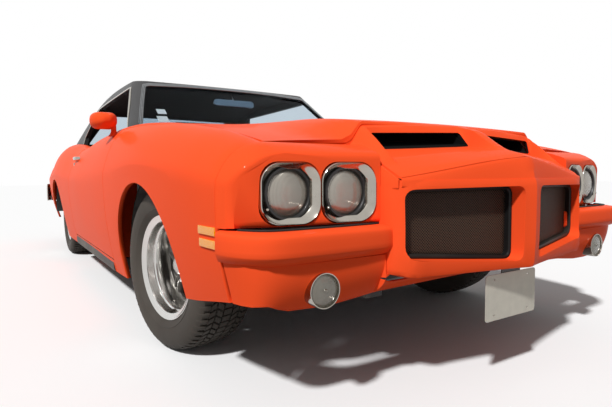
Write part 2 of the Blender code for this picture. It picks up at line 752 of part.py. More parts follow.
# Hood with a beak that reaches between the lamp panels, and two scoops at the beak's root
HOOD_ROWS = (
    # y at the middle, z at the middle, z at the edge, half width, y at the edge
    (-2.543, 0.708, 0.680, 0.470, -2.462),
    (-2.528, 0.716, 0.690, 0.478, -2.448),
    (-2.440, 0.752, 0.728, 0.484, -2.380),
    (-2.356, 0.779, 0.758, 0.488, -2.290),
    (-2.352, 0.779, 0.760, 0.488, -2.286),
    (-2.285, 0.800, 0.783, 0.490, -2.252),
    (-2.255, 0.808, 0.784, 0.795, -2.250),
    (-2.150, 0.830, 0.808, 0.798, -2.150),
    (-1.950, 0.865, 0.847, 0.802, -1.950),
    (-1.650, 0.903, 0.888, 0.808, -1.650),
    (-1.300, 0.932, 0.921, 0.806, -1.300),
    (-1.050, 0.948, 0.937, 0.801, -1.050),
    (HOOD_REAR_Y, 0.956, 0.944, 0.796, HOOD_REAR_Y),
)
SCOOP_ROW = 4
SCOOP_X = (0.022, 0.385)
SCOOP_RISE = 0.046
SCOOP_FADE_Y = -1.45
HOOD_COLUMNS_X = (0.0, 0.020, 0.026, 0.14, 0.26, 0.372, 0.396, 0.450, 0.60, 0.80, 1.0)


def hood_point(row, share):
    """share runs from 0 in the middle to 1 at the edge, or is a real x inside the beak."""
    y_mid, z_mid, z_edge, half, y_edge = HOOD_ROWS[row]
    if share <= 0.45:
        x = share
    else:
        x = 0.45 + (share - 0.45) / 0.55 * (half - SHUT_GAP - 0.45)
    t = x / half
    y = y_mid + (y_edge - y_mid) * t
    z = z_mid + (z_edge - z_mid) * t * t
    if row >= SCOOP_ROW and SCOOP_X[0] < x < SCOOP_X[1] + 0.005:
        fade = max(0.0, min(1.0, (SCOOP_FADE_Y - y) / (SCOOP_FADE_Y - HOOD_ROWS[SCOOP_ROW][0])))
        z += SCOOP_RISE * fade * fade * (3 - 2 * fade)
    return x, y, z


outer = []
inner = []
for row in range(len(HOOD_ROWS)):
    line = [hood_point(row, share) for share in HOOD_COLUMNS_X]
    line = [(-x, y, z) for x, y, z in reversed(line[1:])] + line
    outer.append(line)
    depth = HOOD_LIP_THICKNESS if row == 0 else HOOD_THICKNESS * min(1.0, 0.4 + 0.3 * row)
    inner.append([(x, y, z - depth) for x, y, z in line])
HOOD_HINGE = (0.0, HOOD_REAR_Y - 0.035, 0.925)
hood_hinge = empty("hood_hinge", HOOD_HINGE, BODY)
mesh = slab_mesh("hood", outer, inner)
HOOD_TREE = tree_of(mesh)
mesh.transform(Matrix.Translation([-v for v in HOOD_HINGE]))
hood = part_object("hood", mesh, PAINT_LOOK, hood_hinge)
mouths = []
for label, side in sides():
    rings = []
    for push in (-0.05, 0.16):
        ring = []
        for x, rise in ((SCOOP_X[0] + 0.014, 0.004), (SCOOP_X[1] - 0.024, 0.004),
                        (SCOOP_X[1] - 0.024, SCOOP_RISE - 0.009), (SCOOP_X[0] + 0.014, SCOOP_RISE - 0.009)):
            y_mid, z_mid, z_edge, half, y_edge = HOOD_ROWS[SCOOP_ROW]
            t = x / half
            y = y_mid + (y_edge - y_mid) * t + push
            z = z_mid + (z_edge - z_mid) * t * t + rise + (0.03 if push > 0 else 0.0) * (1
                if rise > 0.02 else -0.4)
            ring.append((side * x, y, z))
        rings.append(ring)
    mouth = loft_mesh("mouth", rings)
    mouth.transform(Matrix.Translation([-v for v in HOOD_HINGE]))
    mouths.append(mouth)
for k, mouth in enumerate(mouths):
    boolean(hood, cutter_object("scoop_mouth_%d" % k, mouth, hood_hinge))


# Greenhouse: roof and pillars in one shell, with the window openings cut
def ring_outline(values, steps=4):
    """One closed ring of the greenhouse, seen from above, anticlockwise from the front's middle."""
    w, yf, bow_f, yr, bow_r, r, zf, zm, zr = values
    half = []
    for k in range(steps + 1):
        x = (w - r) * k / steps
        half.append((x, yf + bow_f * (x / w) ** 2))
    corner_y = yf + bow_f * ((w - r) / w) ** 2 + r
    for k in range(1, 5):
        a = pi / 2 * k / 4
        half.append((w - r + r * sin(a), corner_y - r * cos(a)))
    rear_y = yr + bow_r * ((w - r) / w) ** 2 - r
    for k in range(1, 7):
        half.append((w, corner_y + (rear_y - corner_y) * k / 6))
    for k in range(1, 5):
        a = pi / 2 * k / 4
        half.append((w - r + r * cos(a), rear_y + r * sin(a)))
    for k in range(1, steps + 1):
        x = (w - r) * (1 - k / steps)
        half.append((x, yr + bow_r * (x / w) ** 2))
    whole = half + [(-x, y) for x, y in reversed(half[1:-1])]
    made = []
    for x, y in whole:
        span_front = (y - yf) / (ROOF_MIDDLE_Y - yf)
        if y <= ROOF_MIDDLE_Y:
            z = zf + (zm - zf) * (1 - (1 - span_front) ** 2)
        else:
            span_rear = (y - ROOF_MIDDLE_Y) / (yr - ROOF_MIDDLE_Y)
            z = zm + (zr - zm) * span_rear ** 2
        made.append((x, y, z))
    return made


def greenhouse_shell(name, set_in, thickness):
    """The greenhouse surface moved in by set_in, closed at the ridge and open
    at the base, as a solid shell."""
    rings = [ring_outline(row) for row in RING_TABLE]
    count = len(rings[0])

    def shifted(depth):
        made = []
        for r, ring in enumerate(rings):
            above = rings[min(r + 1, len(rings) - 1)]
            below = rings[max(r - 1, 0)]
            line = []
            for k, p in enumerate(ring):
                round_run = Vector(ring[(k + 1) % count]) - Vector(ring[k - 1])
                up_run = Vector(above[k]) - Vector(below[k])
                out = round_run.cross(up_run).normalized()
                line.append(tuple(Vector(p) - out * depth))
            made.append(line)
        return made

    outside = shifted(set_in)
    inside = shifted(set_in + thickness)
    points = [p for ring in outside for p in ring] + [p for ring in inside for p in ring]
    size = len(rings) * count
    faces = []
    for r in range(len(rings) - 1):
        for k in range(count):
            n = (k + 1) % count
            quad = (r * count + k, r * count + n, (r + 1) * count + n, (r + 1) * count + k)
            faces.append(quad)
            faces.append(tuple(size + i for i in reversed(quad)))
    for k in range(count):
        n = (k + 1) % count
        faces.append((k, n, size + n, size + k))
    top = (len(rings) - 1) * count
    half = count // 2
    for k in range(half):
        a = top + k
        b = top + k + 1
        c = top + (count - k - 1) % count
        d = top + (count - k) % count
        ring = []
        for i in (a, b, c, d):
            if i not in ring:
                ring.append(i)
        if len(ring) > 2:
            faces.append(tuple(ring))
            faces.append(tuple(size + i for i in reversed(ring)))
    return mesh_of(name, points, faces)


def front_view_outline(corners, top_z, low_z, shrink):
    """Opening seen along the car: its lower and upper corner, mirrored, with a raised middle at the top."""
    (low_x, corner_low_z), (high_x, corner_high_z) = corners
    low_x -= shrink
    high_x -= shrink
    half = [(low_x, low_z + shrink), (low_x, corner_low_z + shrink), (high_x, corner_high_z - shrink),
            (high_x * 0.55, top_z - shrink)]
    return half + [(-x, z) for x, z in reversed(half)]


WINDSCREEN_LOW_Z = 0.962
REAR_WINDOW_LOW_Z = 0.985
roof = part_object("roof", greenhouse_shell("roof", 0.0, PILLAR_THICKNESS), (VINYL, 0.7), BODY)
windscreen_hole = prism_mesh("windscreen_hole", front_view_outline(WINDSCREEN_XZ, WINDSCREEN_TOP_Z,
                                                                   WINDSCREEN_LOW_Z, 0.0),
                             1, -1.1, 0.10)
rear_hole = prism_mesh("rear_hole", front_view_outline(REAR_WINDOW_XZ, REAR_WINDOW_TOP_Z, REAR_WINDOW_LOW_Z,
                                                       0.0),
                       1, 0.70, 1.8)
side_hole = prism_mesh("side_hole", SIDE_WINDOW_YZ, 0, -1.0, 1.0)
ROOF_TREE = tree_of(roof.data)
cut(roof, [side_hole, windscreen_hole, rear_hole])

for name, corners, top_z, low_z, y_low, y_high in (
        ("windscreen", WINDSCREEN_XZ, WINDSCREEN_TOP_Z, WINDSCREEN_LOW_Z, -1.1, 0.10),
        ("rear_window", REAR_WINDOW_XZ, REAR_WINDOW_TOP_Z, REAR_WINDOW_LOW_Z, 0.70, 1.8)):
    glass = part_object(name, greenhouse_shell(name, GLASS_SET_IN, GLASS_THICKNESS), (GLASS, 0.05), BODY)
    pane = prism_mesh(name + "_pane", front_view_outline(corners, top_z, low_z, FIT), 1, y_low, y_high)
    boolean(glass, cutter_object(name + "_outline", pane), "INTERSECT")


# Trunk lid, hinged at its front edge
TRUNK_HINGE = (0.0, TRUNK_FRONT_Y + 0.012, 0.948)
trunk_hinge = empty("trunk_hinge", TRUNK_HINGE, BODY)
outer = []
inner = []
for y in along(TRUNK_FRONT_Y, TRUNK_REAR_Y, 0.14):
    top = read_row(SIDE_TABLE, SIDE_COLUMNS, y)["zt"]
    back = (y - TRUNK_FRONT_Y) / (TRUNK_REAR_Y - TRUNK_FRONT_Y)
    line = []
    for k in range(-5, 6):
        x = TRUNK_HALF_WIDTH * k / 5
        line.append((x, y, top + 0.018 * (1 - (k / 5) ** 2)))
    outer.append(line)
    inner.append([(x, y, z - TRUNK_THICKNESS) for x, y, z in line])
mesh = slab_mesh("trunk", outer, inner)
TRUNK_TREE = tree_of(mesh)
mesh.transform(Matrix.Translation([-v for v in TRUNK_HINGE]))
part_object("trunk_lid", mesh, PAINT_LOOK, trunk_hinge)


# Rear panel under the trunk lid
REAR_PANEL_Z = (0.400, 0.812)
REAR_PANEL_HALF = 0.800
panel_outline = [(-REAR_PANEL_HALF, REAR_PANEL_Z[0]), (REAR_PANEL_HALF, REAR_PANEL_Z[0]),
                 (REAR_PANEL_HALF, 0.70), (0.650, REAR_PANEL_Z[1]), (-0.650, REAR_PANEL_Z[1]),
                 (-REAR_PANEL_HALF, 0.70)]
REAR_PANEL_Y = 2.440
rear_panel = part_object("rear_panel", prism_mesh("rear_panel", panel_outline, 1, REAR_PANEL_Y, 2.470),
                         PAINT_LOOK, BODY)
LEDGE_Y = 2.360
LEDGE_Z = 0.790
LID_STOP_X = 0.500
pieces = [box_mesh("ledge", (-0.620, LEDGE_Y, LEDGE_Z), (0.620, REAR_PANEL_Y + 0.010, LEDGE_Z + 0.010))]
for label, side in sides():
    top = reach(TRUNK_TREE, side * LID_STOP_X, LEDGE_Y + 0.020, LEDGE_Z, 0.012) - FIT
    pieces.append(post_mesh("lid_stop", side * LID_STOP_X, LEDGE_Y + 0.020, LEDGE_Z + 0.005, top, 0.012))
fuse(rear_panel, pieces)


# Rear bumper, wrapped round the corners, with the tail lamps in its ends
REAR_BUMPER_PATH = (
    # x, y of the outer face, depth behind it
    (0.000, REAR_Y, 0.060),
    (0.350, REAR_Y - 0.004, 0.060),
    (0.650, REAR_Y - 0.020, 0.050),
    (0.830, REAR_Y - 0.042, 0.030),
    (0.888, REAR_Y - 0.062, 0.016),
    (0.924, REAR_Y - 0.107, 0.011),
    (0.943, REAR_Y - 0.180, 0.009),
    (0.949, REAR_Y - 0.250, 0.009),
)
REAR_BUMPER_Z = (0.430, 0.610)


def rear_bumper_mesh():
    path = [(-x, *rest) for x, *rest in reversed(REAR_BUMPER_PATH[1:])] + list(REAR_BUMPER_PATH)
    low, high = REAR_BUMPER_Z
    rings = []
    for k, (x, y, depth) in enumerate(path):
        before = path[max(k - 1, 0)]
        after = path[min(k + 1, len(path) - 1)]
        run = Vector((after[0] - before[0], after[1] - before[1])).normalized()
        inward = Vector((run.y, -run.x))
        bend = min(1.0, depth / 0.03)
        ring = []
        for back, z in ((0.018 * bend, low), (0.0, low + 0.03), (0.0, high - 0.04), (0.02 * bend, high),
                        (depth, high), (depth, low)):
            ring.append((x + inward.x * back, y + inward.y * back, z))
        rings.append(ring)
    return loft_mesh("rear_bumper", rings)


bumper = part_object("rear_bumper", rear_bumper_mesh(), (CHROME, 0.15, 1.0), BODY)
fuse(bumper, [box_mesh("bumper_iron", (side * 0.450 - 0.025, 2.470 + FIT, 0.470),
                       (side * 0.450 + 0.025, REAR_Y - 0.030, 0.520))
              for label, side in sides()])


# Floor pan with sills, tunnel, rear kick-up and boot floor
FLOOR_Z = 0.235
FLOOR_SKIN = 0.014
SILL_TOP_Z = DOOR_BOTTOM_Z - SHUT_GAP
TUNNEL_HALF = 0.165
TUNNEL_TOP_Z = 0.455
FLOOR_FRONT_Y = -0.880
KICK_Y = 0.820
TRUNK_FLOOR_Z = 0.460
WHEELHOUSE_WALL_X = REAR_HALF_TRACK - TYRE_WIDTH / 2 - 0.066
TRUNK_FLOOR_HALF = WHEELHOUSE_WALL_X + 0.012
FLOOR_ROWS = (
    # y, tunnel top z, floor half width, sill outer x
    (FLOOR_FRONT_Y, TUNNEL_TOP_Z, 0.780, 0.925),
    (DOOR_REAR_Y, 0.410, 0.780, 0.925),
)
REAR_FLOOR_ROWS = (
    (DOOR_REAR_Y - 0.004, 0.410, 0.755, 0.773),
    (KICK_Y + 0.060, 0.395, 0.755, 0.773),
)
SILL_BOTTOM_Z = 0.205


def floor_ring(y, tunnel_z, half, sill_x):
    """Half of the section from the tunnel out to the sill, then back under it."""
    t = TUNNEL_HALF
    low_z = FLOOR_Z - FLOOR_SKIN
    sill_low = SILL_BOTTOM_Z if sill_x > half + 0.05 else low_z
    top = [(0.0, tunnel_z), (t * 0.8, tunnel_z - 0.02), (t, FLOOR_Z + 0.02), (t + 0.03, FLOOR_Z),
           (half, FLOOR_Z), (half + 0.012, SILL_TOP_Z), (sill_x, SILL_TOP_Z), (sill_x, sill_low + 0.02),
           (sill_x - 0.005, sill_low)]
    low = [(half, sill_low - 0.0001), (half - 0.01, low_z), (t + 0.03 + FLOOR_SKIN, low_z),
           (t - FLOOR_SKIN, low_z + 0.015), (t * 0.8 - FLOOR_SKIN, tunnel_z - 0.02 - FLOOR_SKIN),
           (0.0, tunnel_z - FLOOR_SKIN)]
    ring = top + low + [(-x, z) for x, z in reversed(low[:-1])] + [(-x, z) for x, z in reversed(top[1:])]
    return [(x, y, z) for x, z in ring]


floor = part_object("floor_pan", loft_mesh("floor", [floor_ring(*row) for row in FLOOR_ROWS]), (BLACK, 0.7),
                    BODY)
rear_pan = loft_mesh("rear_pan", [floor_ring(*row) for row in REAR_FLOOR_ROWS])
rear_floor = prism_mesh("rear_floor", (
    (KICK_Y - 0.012, FLOOR_Z - FLOOR_SKIN), (KICK_Y, FLOOR_Z - FLOOR_SKIN),
    (KICK_Y + 0.12, TRUNK_FLOOR_Z - FLOOR_SKIN),
    (REAR_PANEL_Y - FIT, TRUNK_FLOOR_Z - FLOOR_SKIN), (REAR_PANEL_Y - FIT, TRUNK_FLOOR_Z),
    (KICK_Y + 0.115, TRUNK_FLOOR_Z),
    (KICK_Y - 0.005, FLOOR_Z), (KICK_Y - 0.012, FLOOR_Z)), 0, -TRUNK_FLOOR_HALF, TRUNK_FLOOR_HALF)
wheelhouses = []
WHEELHOUSE_RADIUS = 0.375
for label, side in sides():
    outline = []
    for k in range(13):
        a = pi * k / 12
        outline.append((REAR_AXLE_Y + WHEELHOUSE_RADIUS * cos(a), AXLE_Z + 0.03 + WHEELHOUSE_RADIUS * sin(a)))
    for k in range(13):
        a = pi - pi * k / 12
        r = WHEELHOUSE_RADIUS - 0.012
        outline.append((REAR_AXLE_Y + r * cos(a), AXLE_Z + 0.03 + r * sin(a)))
    ends = sorted((side * (WHEELHOUSE_WALL_X + 0.007), side * 0.925))
    wheelhouses.append(prism_mesh("wheelhouse", outline, 0, ends[0], ends[1]))
    wall = [(y, z) for y, z in outline[:13]] + [(REAR_AXLE_Y - WHEELHOUSE_RADIUS, TRUNK_FLOOR_Z - 0.03),
                                                 (REAR_AXLE_Y + WHEELHOUSE_RADIUS, TRUNK_FLOOR_Z - 0.03)]
    ends = sorted((side * WHEELHOUSE_WALL_X, side * TRUNK_FLOOR_HALF))
    wheelhouses.append(prism_mesh("wheelhouse_wall", [p for p in wall if p[1] > TRUNK_FLOOR_Z - 0.031], 0,
                                  ends[0], ends[1]))
shaft_hole = box_mesh("shaft_hole", (-0.118, KICK_Y - 0.02, 0.200), (0.118, 0.930, 0.380))
fuse(floor, [rear_floor] + wheelhouses)
cut(floor, [shaft_hole])
fuse(floor, [rear_pan])


# Cowl: bulkhead between engine and cabin, with the cowl top under the windscreen
COWL_HALF = 0.755
DASH_FRONT_Y = -0.690
cowl = part_object("cowl", prism_mesh("cowl", (
    (-0.872, FLOOR_Z + FIT), (-0.856, FLOOR_Z + FIT), (-0.808, 0.855), (DASH_FRONT_Y - FIT, 0.868),
    (DASH_FRONT_Y - FIT, 0.880), (-0.800, 0.8825),
    (-0.822, 0.865)), 0, -COWL_HALF, COWL_HALF), (BLACK, 0.6), BODY)
cut(cowl, [box_mesh("tunnel_gap", (-TUNNEL_HALF - 0.03, -1.0, 0.20),
                    (TUNNEL_HALF + 0.03, -0.75, TUNNEL_TOP_Z + 0.004))])


# Inner fenders: wheelhouse shells and engine bay walls, joined by the radiator support
BAY_WALL_X = 0.460
BAY_SKIN = 0.010
INNER_ARCH_HALF = 0.425
INNER_ARCH_HEIGHT = 0.395
INNER_REAR_Y = -0.880
support = box_mesh("support", (-0.78, INNER_FRONT_Y, 0.400), (0.78, INNER_FRONT_Y + 0.018, 0.735))
inner_fenders = part_object("inner_fenders", support, (BLACK, 0.6), BODY)
pieces = []
for label, side in sides():
    ends = sorted((side * BAY_WALL_X, side * (BAY_WALL_X + BAY_SKIN)))
    pieces.append(box_mesh("wall", (ends[0], INNER_FRONT_Y + 0.004, 0.405), (ends[1], INNER_REAR_Y, 0.760)))
    outline = []
    for k in range(15):
        a = pi * k / 14
        outline.append((FRONT_AXLE_Y + INNER_ARCH_HALF * cos(a), ARCH_CENTRE_Z + INNER_ARCH_HEIGHT * sin(a)))
    for k in range(15):
        a = pi - pi * k / 14
        outline.append((FRONT_AXLE_Y + (INNER_ARCH_HALF - BAY_SKIN) * cos(a),
                        ARCH_CENTRE_Z + (INNER_ARCH_HEIGHT - BAY_SKIN) * sin(a)))
    ends = sorted((side * (BAY_WALL_X + 0.002), side * 0.895))
    pieces.append(prism_mesh("arch_shell", outline, 0, ends[0], ends[1]))
HOOD_STOP_X = 0.560
STAY_X = 0.842
for label, side in sides():
    stop_y = INNER_FRONT_Y + 0.010
    top = reach(HOOD_TREE, side * HOOD_STOP_X, stop_y, 0.70, 0.008) - FIT
    pieces.append(post_mesh("hood_stop", side * HOOD_STOP_X, stop_y, 0.730, top, 0.008))
    top = reach(FENDER_TREES[side], side * STAY_X, FRONT_AXLE_Y, 0.72, 0.020) - FIT
    pieces.append(post_mesh("fender_stay", side * STAY_X, FRONT_AXLE_Y,
                            ARCH_CENTRE_Z + INNER_ARCH_HEIGHT - 0.006, top, 0.020))
fuse(inner_fenders, pieces)
cut(inner_fenders, [box_mesh("radiator_opening", (-0.36, -2.30, 0.44), (0.36, -2.15, 0.69))])


# Chassis frame: two side rails with cross members and the front suspension arms
RAIL_WIDTH = 0.070
REAR_RAIL_HEIGHT = 0.065
REAR_RAIL_Z = TRUNK_FLOOR_Z - FLOOR_SKIN - FIT - REAR_RAIL_HEIGHT / 2
RAIL_ROUTE = (
    # x, y, z of the middle, height
    (0.385, -2.255, 0.330, 0.090),
    (0.385, -1.250, 0.330, 0.090),
    (0.400, -1.130, 0.300, 0.090),
    (0.650, -0.900, 0.155, 0.090),
    (0.690, -0.780, 0.155, 0.090),
    (0.690, 0.560, 0.155, 0.090),
    (0.560, 0.760, 0.158, 0.085),
    (0.450, 0.900, 0.172, 0.080),
    (0.450, 1.060, REAR_RAIL_Z, REAR_RAIL_HEIGHT),
    (0.450, 2.430, REAR_RAIL_Z, REAR_RAIL_HEIGHT),
)


def rail_mesh(side):
    rings = []
    for x, y, z, height in RAIL_ROUTE:
        rings.append([(side * x + dx * RAIL_WIDTH, y, z + dz * height)
                      for dx, dz in ((-0.5, -0.5), (0.5, -0.5), (0.5, 0.5), (-0.5, 0.5))])
    return loft_mesh("rail", rings)


rails = [rail_mesh(side) for label, side in sides()]
CROSS_Z = 0.255
frame = part_object("chassis_frame", rails[0], (BLACK, 0.55), BODY)
members = [rails[1]]
members.append(box_mesh("front_cross", (-0.36, FRONT_AXLE_Y - 0.09, CROSS_Z - 0.035),
                        (0.36, FRONT_AXLE_Y + 0.09, CROSS_Z + 0.04)))
members.append(box_mesh("radiator_cross", (-0.37, -2.13, 0.300), (0.37, -2.07, 0.350)))
members.append(box_mesh("gearbox_cross", (-0.67, -0.330, 0.120), (0.67, -0.250, 0.158)))
members.append(box_mesh("axle_cross", (-0.43, 1.040, 0.385), (0.43, 1.090, 0.435)))
members.append(box_mesh("tail_cross", (-0.43, 2.405, 0.385), (0.43, 2.428, 0.435)))
BALL_X = STEER_AXIS_X + 0.020
ARM_HALF = 0.011
KNUCKLE_HALF_Z = 0.104
ARM_OFFSET = 0.120
ARM_Z = (AXLE_Z - ARM_OFFSET, AXLE_Z + ARM_OFFSET)
for label, side in sides():
    for z, root_z in ((ARM_Z[0], 0.245), (ARM_Z[1], 0.362)):
        rings = []
        for x, half, height, at_z in ((0.355, 0.105, 0.026, root_z), (0.430, 0.095, 0.024, root_z),
                                      (0.560, 0.038, 0.024, z), (BALL_X, 0.020, 2 * ARM_HALF, z)):
            rings.append([(side * x, FRONT_AXLE_Y + dy * half, at_z + dz * height / 2)
                          for dy, dz in ((-1, -1), (1, -1), (1, 1), (-1, 1))])
        members.append(loft_mesh("arm", rings))
    for mount_y, low, high in ((-0.620, 0.190, FLOOR_Z - FLOOR_SKIN - FIT),
                               (0.300, 0.190, FLOOR_Z - FLOOR_SKIN - FIT)):
        members.append(post_mesh("body_mount", side * 0.690, mount_y, low, high, 0.022))
    members.append(post_mesh("front_mount", side * 0.385, INNER_FRONT_Y + 0.004, 0.365, 0.400 - FIT, 0.014))
fuse(frame, members)


# Engine and gearbox, one plain block
ENGINE_FRONT_Y = -1.950
ENGINE_REAR_Y = -1.130
ENGINE_BOTTOM_Z = CROSS_Z + 0.04 + FIT
engine_outline = ((-0.16, ENGINE_BOTTOM_Z), (0.16, ENGINE_BOTTOM_Z), (0.30, 0.56), (0.24, 0.74), (0.10, 0.80),
                  (-0.10, 0.80), (-0.24, 0.74), (-0.30, 0.56))
engine = part_object("engine", prism_mesh("engine", engine_outline, 1, ENGINE_FRONT_Y, ENGINE_REAR_Y),
                     ((0.05, 0.12, 0.18), 0.5), BODY)
gearbox = []
for y, half, low, high in ((ENGINE_REAR_Y - 0.02, 0.20, 0.23, 0.56), (-0.98, 0.10, 0.215, 0.40),
                           (-0.31, 0.075, 0.158 + FIT, 0.35), (-0.20, 0.05, 0.22, 0.33)):
    gearbox.append([(dx * half, y, low if dz < 0 else high)
                    for dx, dz in ((-1, -1), (1, -1), (1, 1), (-1, 1))])
fuse(engine, [loft_mesh("gearbox", gearbox)])


# Rear axle with its brake plates, trailing arms and propeller shaft
TRAILING_ARM_X = 0.450 - RAIL_WIDTH / 2 - 0.022 - FIT
axle_tube = disc_mesh("axle", ((0.036, -REAR_HALF_TRACK + 0.070), (0.036, REAR_HALF_TRACK - 0.070)), 12)
axle = part_object("rear_axle", axle_tube, (BLACK, 0.6), BODY)
axle.location = (0, REAR_AXLE_Y, AXLE_Z)
pieces = [disc_mesh("differential", ((0.04, -0.16), (0.088, -0.10), (0.104, 0.0), (0.088, 0.10),
                                     (0.04, 0.16)), 16)]
for label, side in sides():
    ends = sorted((side * (REAR_HALF_TRACK - 0.095), side * (REAR_HALF_TRACK - 0.072)))
    pieces.append(disc_mesh("plate", ((0.140, ends[0]), (0.140, ends[1])), 20))
    arm = [[(side * TRAILING_ARM_X + dx * 0.022, y, z + dz * 0.025)
            for dx, dz in ((-1, -1), (1, -1), (1, 1), (-1, 1))]
           for y, z in ((0.0, -0.045), (-0.250, -0.080), (-0.372, -0.110))]
    pieces.append(loft_mesh("trailing_arm", arm))
shaft = disc_mesh("shaft", ((0.034, 0.06), (0.034, 1.495)), 12)
shaft.transform(Matrix.Rotation(0.028, 4, "X") @ Matrix.Rotation(-pi / 2, 4, "Z"))
pieces.append(shaft)
fuse(axle, pieces)


# Dashboard
dash = prism_mesh("dash", ((DASH_FRONT_Y, 0.876), (-0.400, 0.935), (-0.330, 0.900), (-0.345, 0.800),
                           (-0.400, 0.700),
                           (-0.480, 0.690), (DASH_FRONT_Y, 0.760)), 0, -0.690, 0.690)
dashboard = part_object("dashboard", dash, ((0.03, 0.03, 0.03), 0.6), BODY)
STEERING_CENTRE = (0.370, -0.215, 0.830)
STEERING_TILT = radians(24)
COLUMN_END = -0.100
jacket = disc_mesh("jacket", ((0.030, -0.210), (0.030, COLUMN_END - FIT)), 16)
jacket.transform(Matrix.Translation(STEERING_CENTRE) @ Matrix.Rotation(STEERING_TILT, 4,
    "X") @ Matrix.Rotation(pi / 2, 4, "Z"))
fuse(dashboard, [jacket])


# Seats
def seat_mesh(name, outline, low, high):
    return prism_mesh(name, outline, 0, low, high)


SEAT_Z = FLOOR_Z + FIT
FRONT_SEAT_PROFILE = (
    (-0.130, SEAT_Z), (0.330, SEAT_Z), (0.400, 0.330), (0.560, 0.860), (0.540, 0.920), (0.480, 0.910),
    (0.330, 0.560),
    (0.290, 0.505), (-0.130, 0.530), (-0.180, 0.480), (-0.160, 0.360),
)
FRONT_SEAT_X = (0.205, 0.715)
REAR_SEAT_PROFILE = (
    (0.720, SEAT_Z), (KICK_Y - 0.030, SEAT_Z), (KICK_Y + 0.090, TRUNK_FLOOR_Z + 0.012),
    (1.330, TRUNK_FLOOR_Z + 0.012), (1.440, 0.900),
    (1.500, 0.905), (1.500, 0.925), (1.300, 0.925), (1.240, 0.880), (1.130, 0.560), (1.090, 0.530),
    (0.690, 0.560),
    (0.640, 0.500),
)
REAR_SEAT_HALF = WHEELHOUSE_WALL_X - 0.013
for label, side in sides():
    ends = sorted((side * FRONT_SEAT_X[0], side * FRONT_SEAT_X[1]))
    part_object("front_seat_" + label, seat_mesh("seat", FRONT_SEAT_PROFILE, *ends), (BLACK, 0.6), BODY)
rear_seat = part_object("rear_seat", seat_mesh("rear_seat", REAR_SEAT_PROFILE, -REAR_SEAT_HALF,
                                               REAR_SEAT_HALF),
                        (BLACK, 0.6), BODY)
cut(rear_seat, [box_mesh("seat_tunnel", (-TUNNEL_HALF - 0.035, 0.60, 0.20),
                         (TUNNEL_HALF + 0.035, 0.99, 0.412))])


# Fuel tank and exhaust
tank = prism_mesh("tank", ((1.780, 0.250), (2.360, 0.250), (2.400, 0.300), (2.400, 0.4455), (1.740, 0.4455),
                           (1.740, 0.300)),
                  0, -0.380, 0.380)
part_object("fuel_tank", tank, (STEEL, 0.5, 0.5), BODY)


# Exhaust: one pipe a side with its muffler
def tube_object(name, route, radius, look, resolution=1):
    curve = bpy.data.curves.new(name, "CURVE")
    curve.dimensions = "3D"
    curve.bevel_depth = radius
    curve.bevel_resolution = resolution
    curve.use_fill_caps = True
    spline = curve.splines.new("POLY")
    spline.points.add(len(route) - 1)
    for point, place in zip(spline.points, route):
        point.co = (*place, 1.0)
    holder = bpy.data.objects.new(name, curve)
    CUTTERS.objects.link(holder)
    bpy.context.view_layer.update()
    mesh = bpy.data.meshes.new_from_object(holder.evaluated_get(bpy.context.evaluated_depsgraph_get()))
    bpy.data.objects.remove(holder)
    tidy = bmesh.new()
    tidy.from_mesh(mesh)
    bmesh.ops.remove_doubles(tidy, verts=tidy.verts, dist=0.0001)
    bmesh.ops.recalc_face_normals(tidy, faces=tidy.faces)
    tidy.to_mesh(mesh)
    tidy.free()
    return mesh


pieces = []
exhaust = None
for side in (1, -1):
    route = [(side * 0.265, -1.250, 0.300), (side * 0.265, -1.050, 0.187), (side * 0.265, 0.880, 0.187),
             (side * 0.270, 1.080, 0.240), (side * 0.270, 1.480, 0.232), (side * 0.425, 1.640, 0.205),
             (side * 0.470, 2.000, 0.215), (side * 0.520, 2.500, 0.270)]
    mesh = tube_object("pipe", route, 0.022, None)
    muffler = disc_mesh("muffler", ((0.024, -0.27), (0.042, -0.25), (0.042, 0.25), (0.024, 0.27)), 14)
    muffler.transform(Matrix.Translation((side * 0.265, 0.420, 0.176)) @ Matrix.Diagonal((2.0, 1.0, 1.0, 1.0))
                      @ Matrix.Rotation(pi / 2, 4, "Z"))
    if exhaust is None:
        exhaust = part_object("exhaust", mesh, (STEEL, 0.4, 0.8), BODY)
    else:
        pieces.append(mesh)
    pieces.append(muffler)
for side in (1, -1):
    pieces.append(post_mesh("hanger", side * 0.265, 0.760, 0.190, FLOOR_Z - FLOOR_SKIN - FIT, 0.008))
pieces.append(box_mesh("balance_pipe", (-0.265, -0.150, 0.177), (0.265, -0.120, 0.199)))
fuse(exhaust, pieces)


# Wheels
TYRE_PROFILE = (
    # radius, half width share of the tyre
    (RIM_RADIUS, 0.355),
    (0.2115, 0.385),
    (0.2350, 0.478),
    (0.2700, 0.500),
    (0.3120, 0.455),
    (TYRE_RADIUS, 0.335),
)


WHEEL_PHASE = pi / TYRE_SEGMENTS


def tyre_mesh():
    outer = [(radius, share * TYRE_WIDTH) for radius, share in TYRE_PROFILE]
    profile = outer + [(radius, -across) for radius, across in reversed(outer)]
    return turned_mesh("tyre", profile, TYRE_SEGMENTS, WHEEL_PHASE)


def rim_mesh():
    """Rim barrel as a turned ring, open side towards +X."""
    half = RIM_WIDTH / 2
    profile = (
        (RIM_RADIUS - FIT, -half + 0.004), (RIM_RADIUS - FIT, half - 0.010), (RIM_LIP_RADIUS, half - 0.002),
        (RIM_LIP_RADIUS, half + 0.005), (RIM_RADIUS - 0.006, half + 0.002), (0.168, 0.045),
        (0.166, -half + 0.004),
    )
    return turned_mesh("rim", profile, RIM_SEGMENTS, WHEEL_PHASE)


CAP_RADIUS = 0.036


def spider_mesh():
    return disc_mesh("spider", ((0.1675, -0.012), (0.1675, 0.006), (0.075, 0.018), (CAP_RADIUS, 0.022),
                                (CAP_RADIUS, 0.040), (0.014, 0.054)), RIM_SEGMENTS // 2, WHEEL_PHASE)


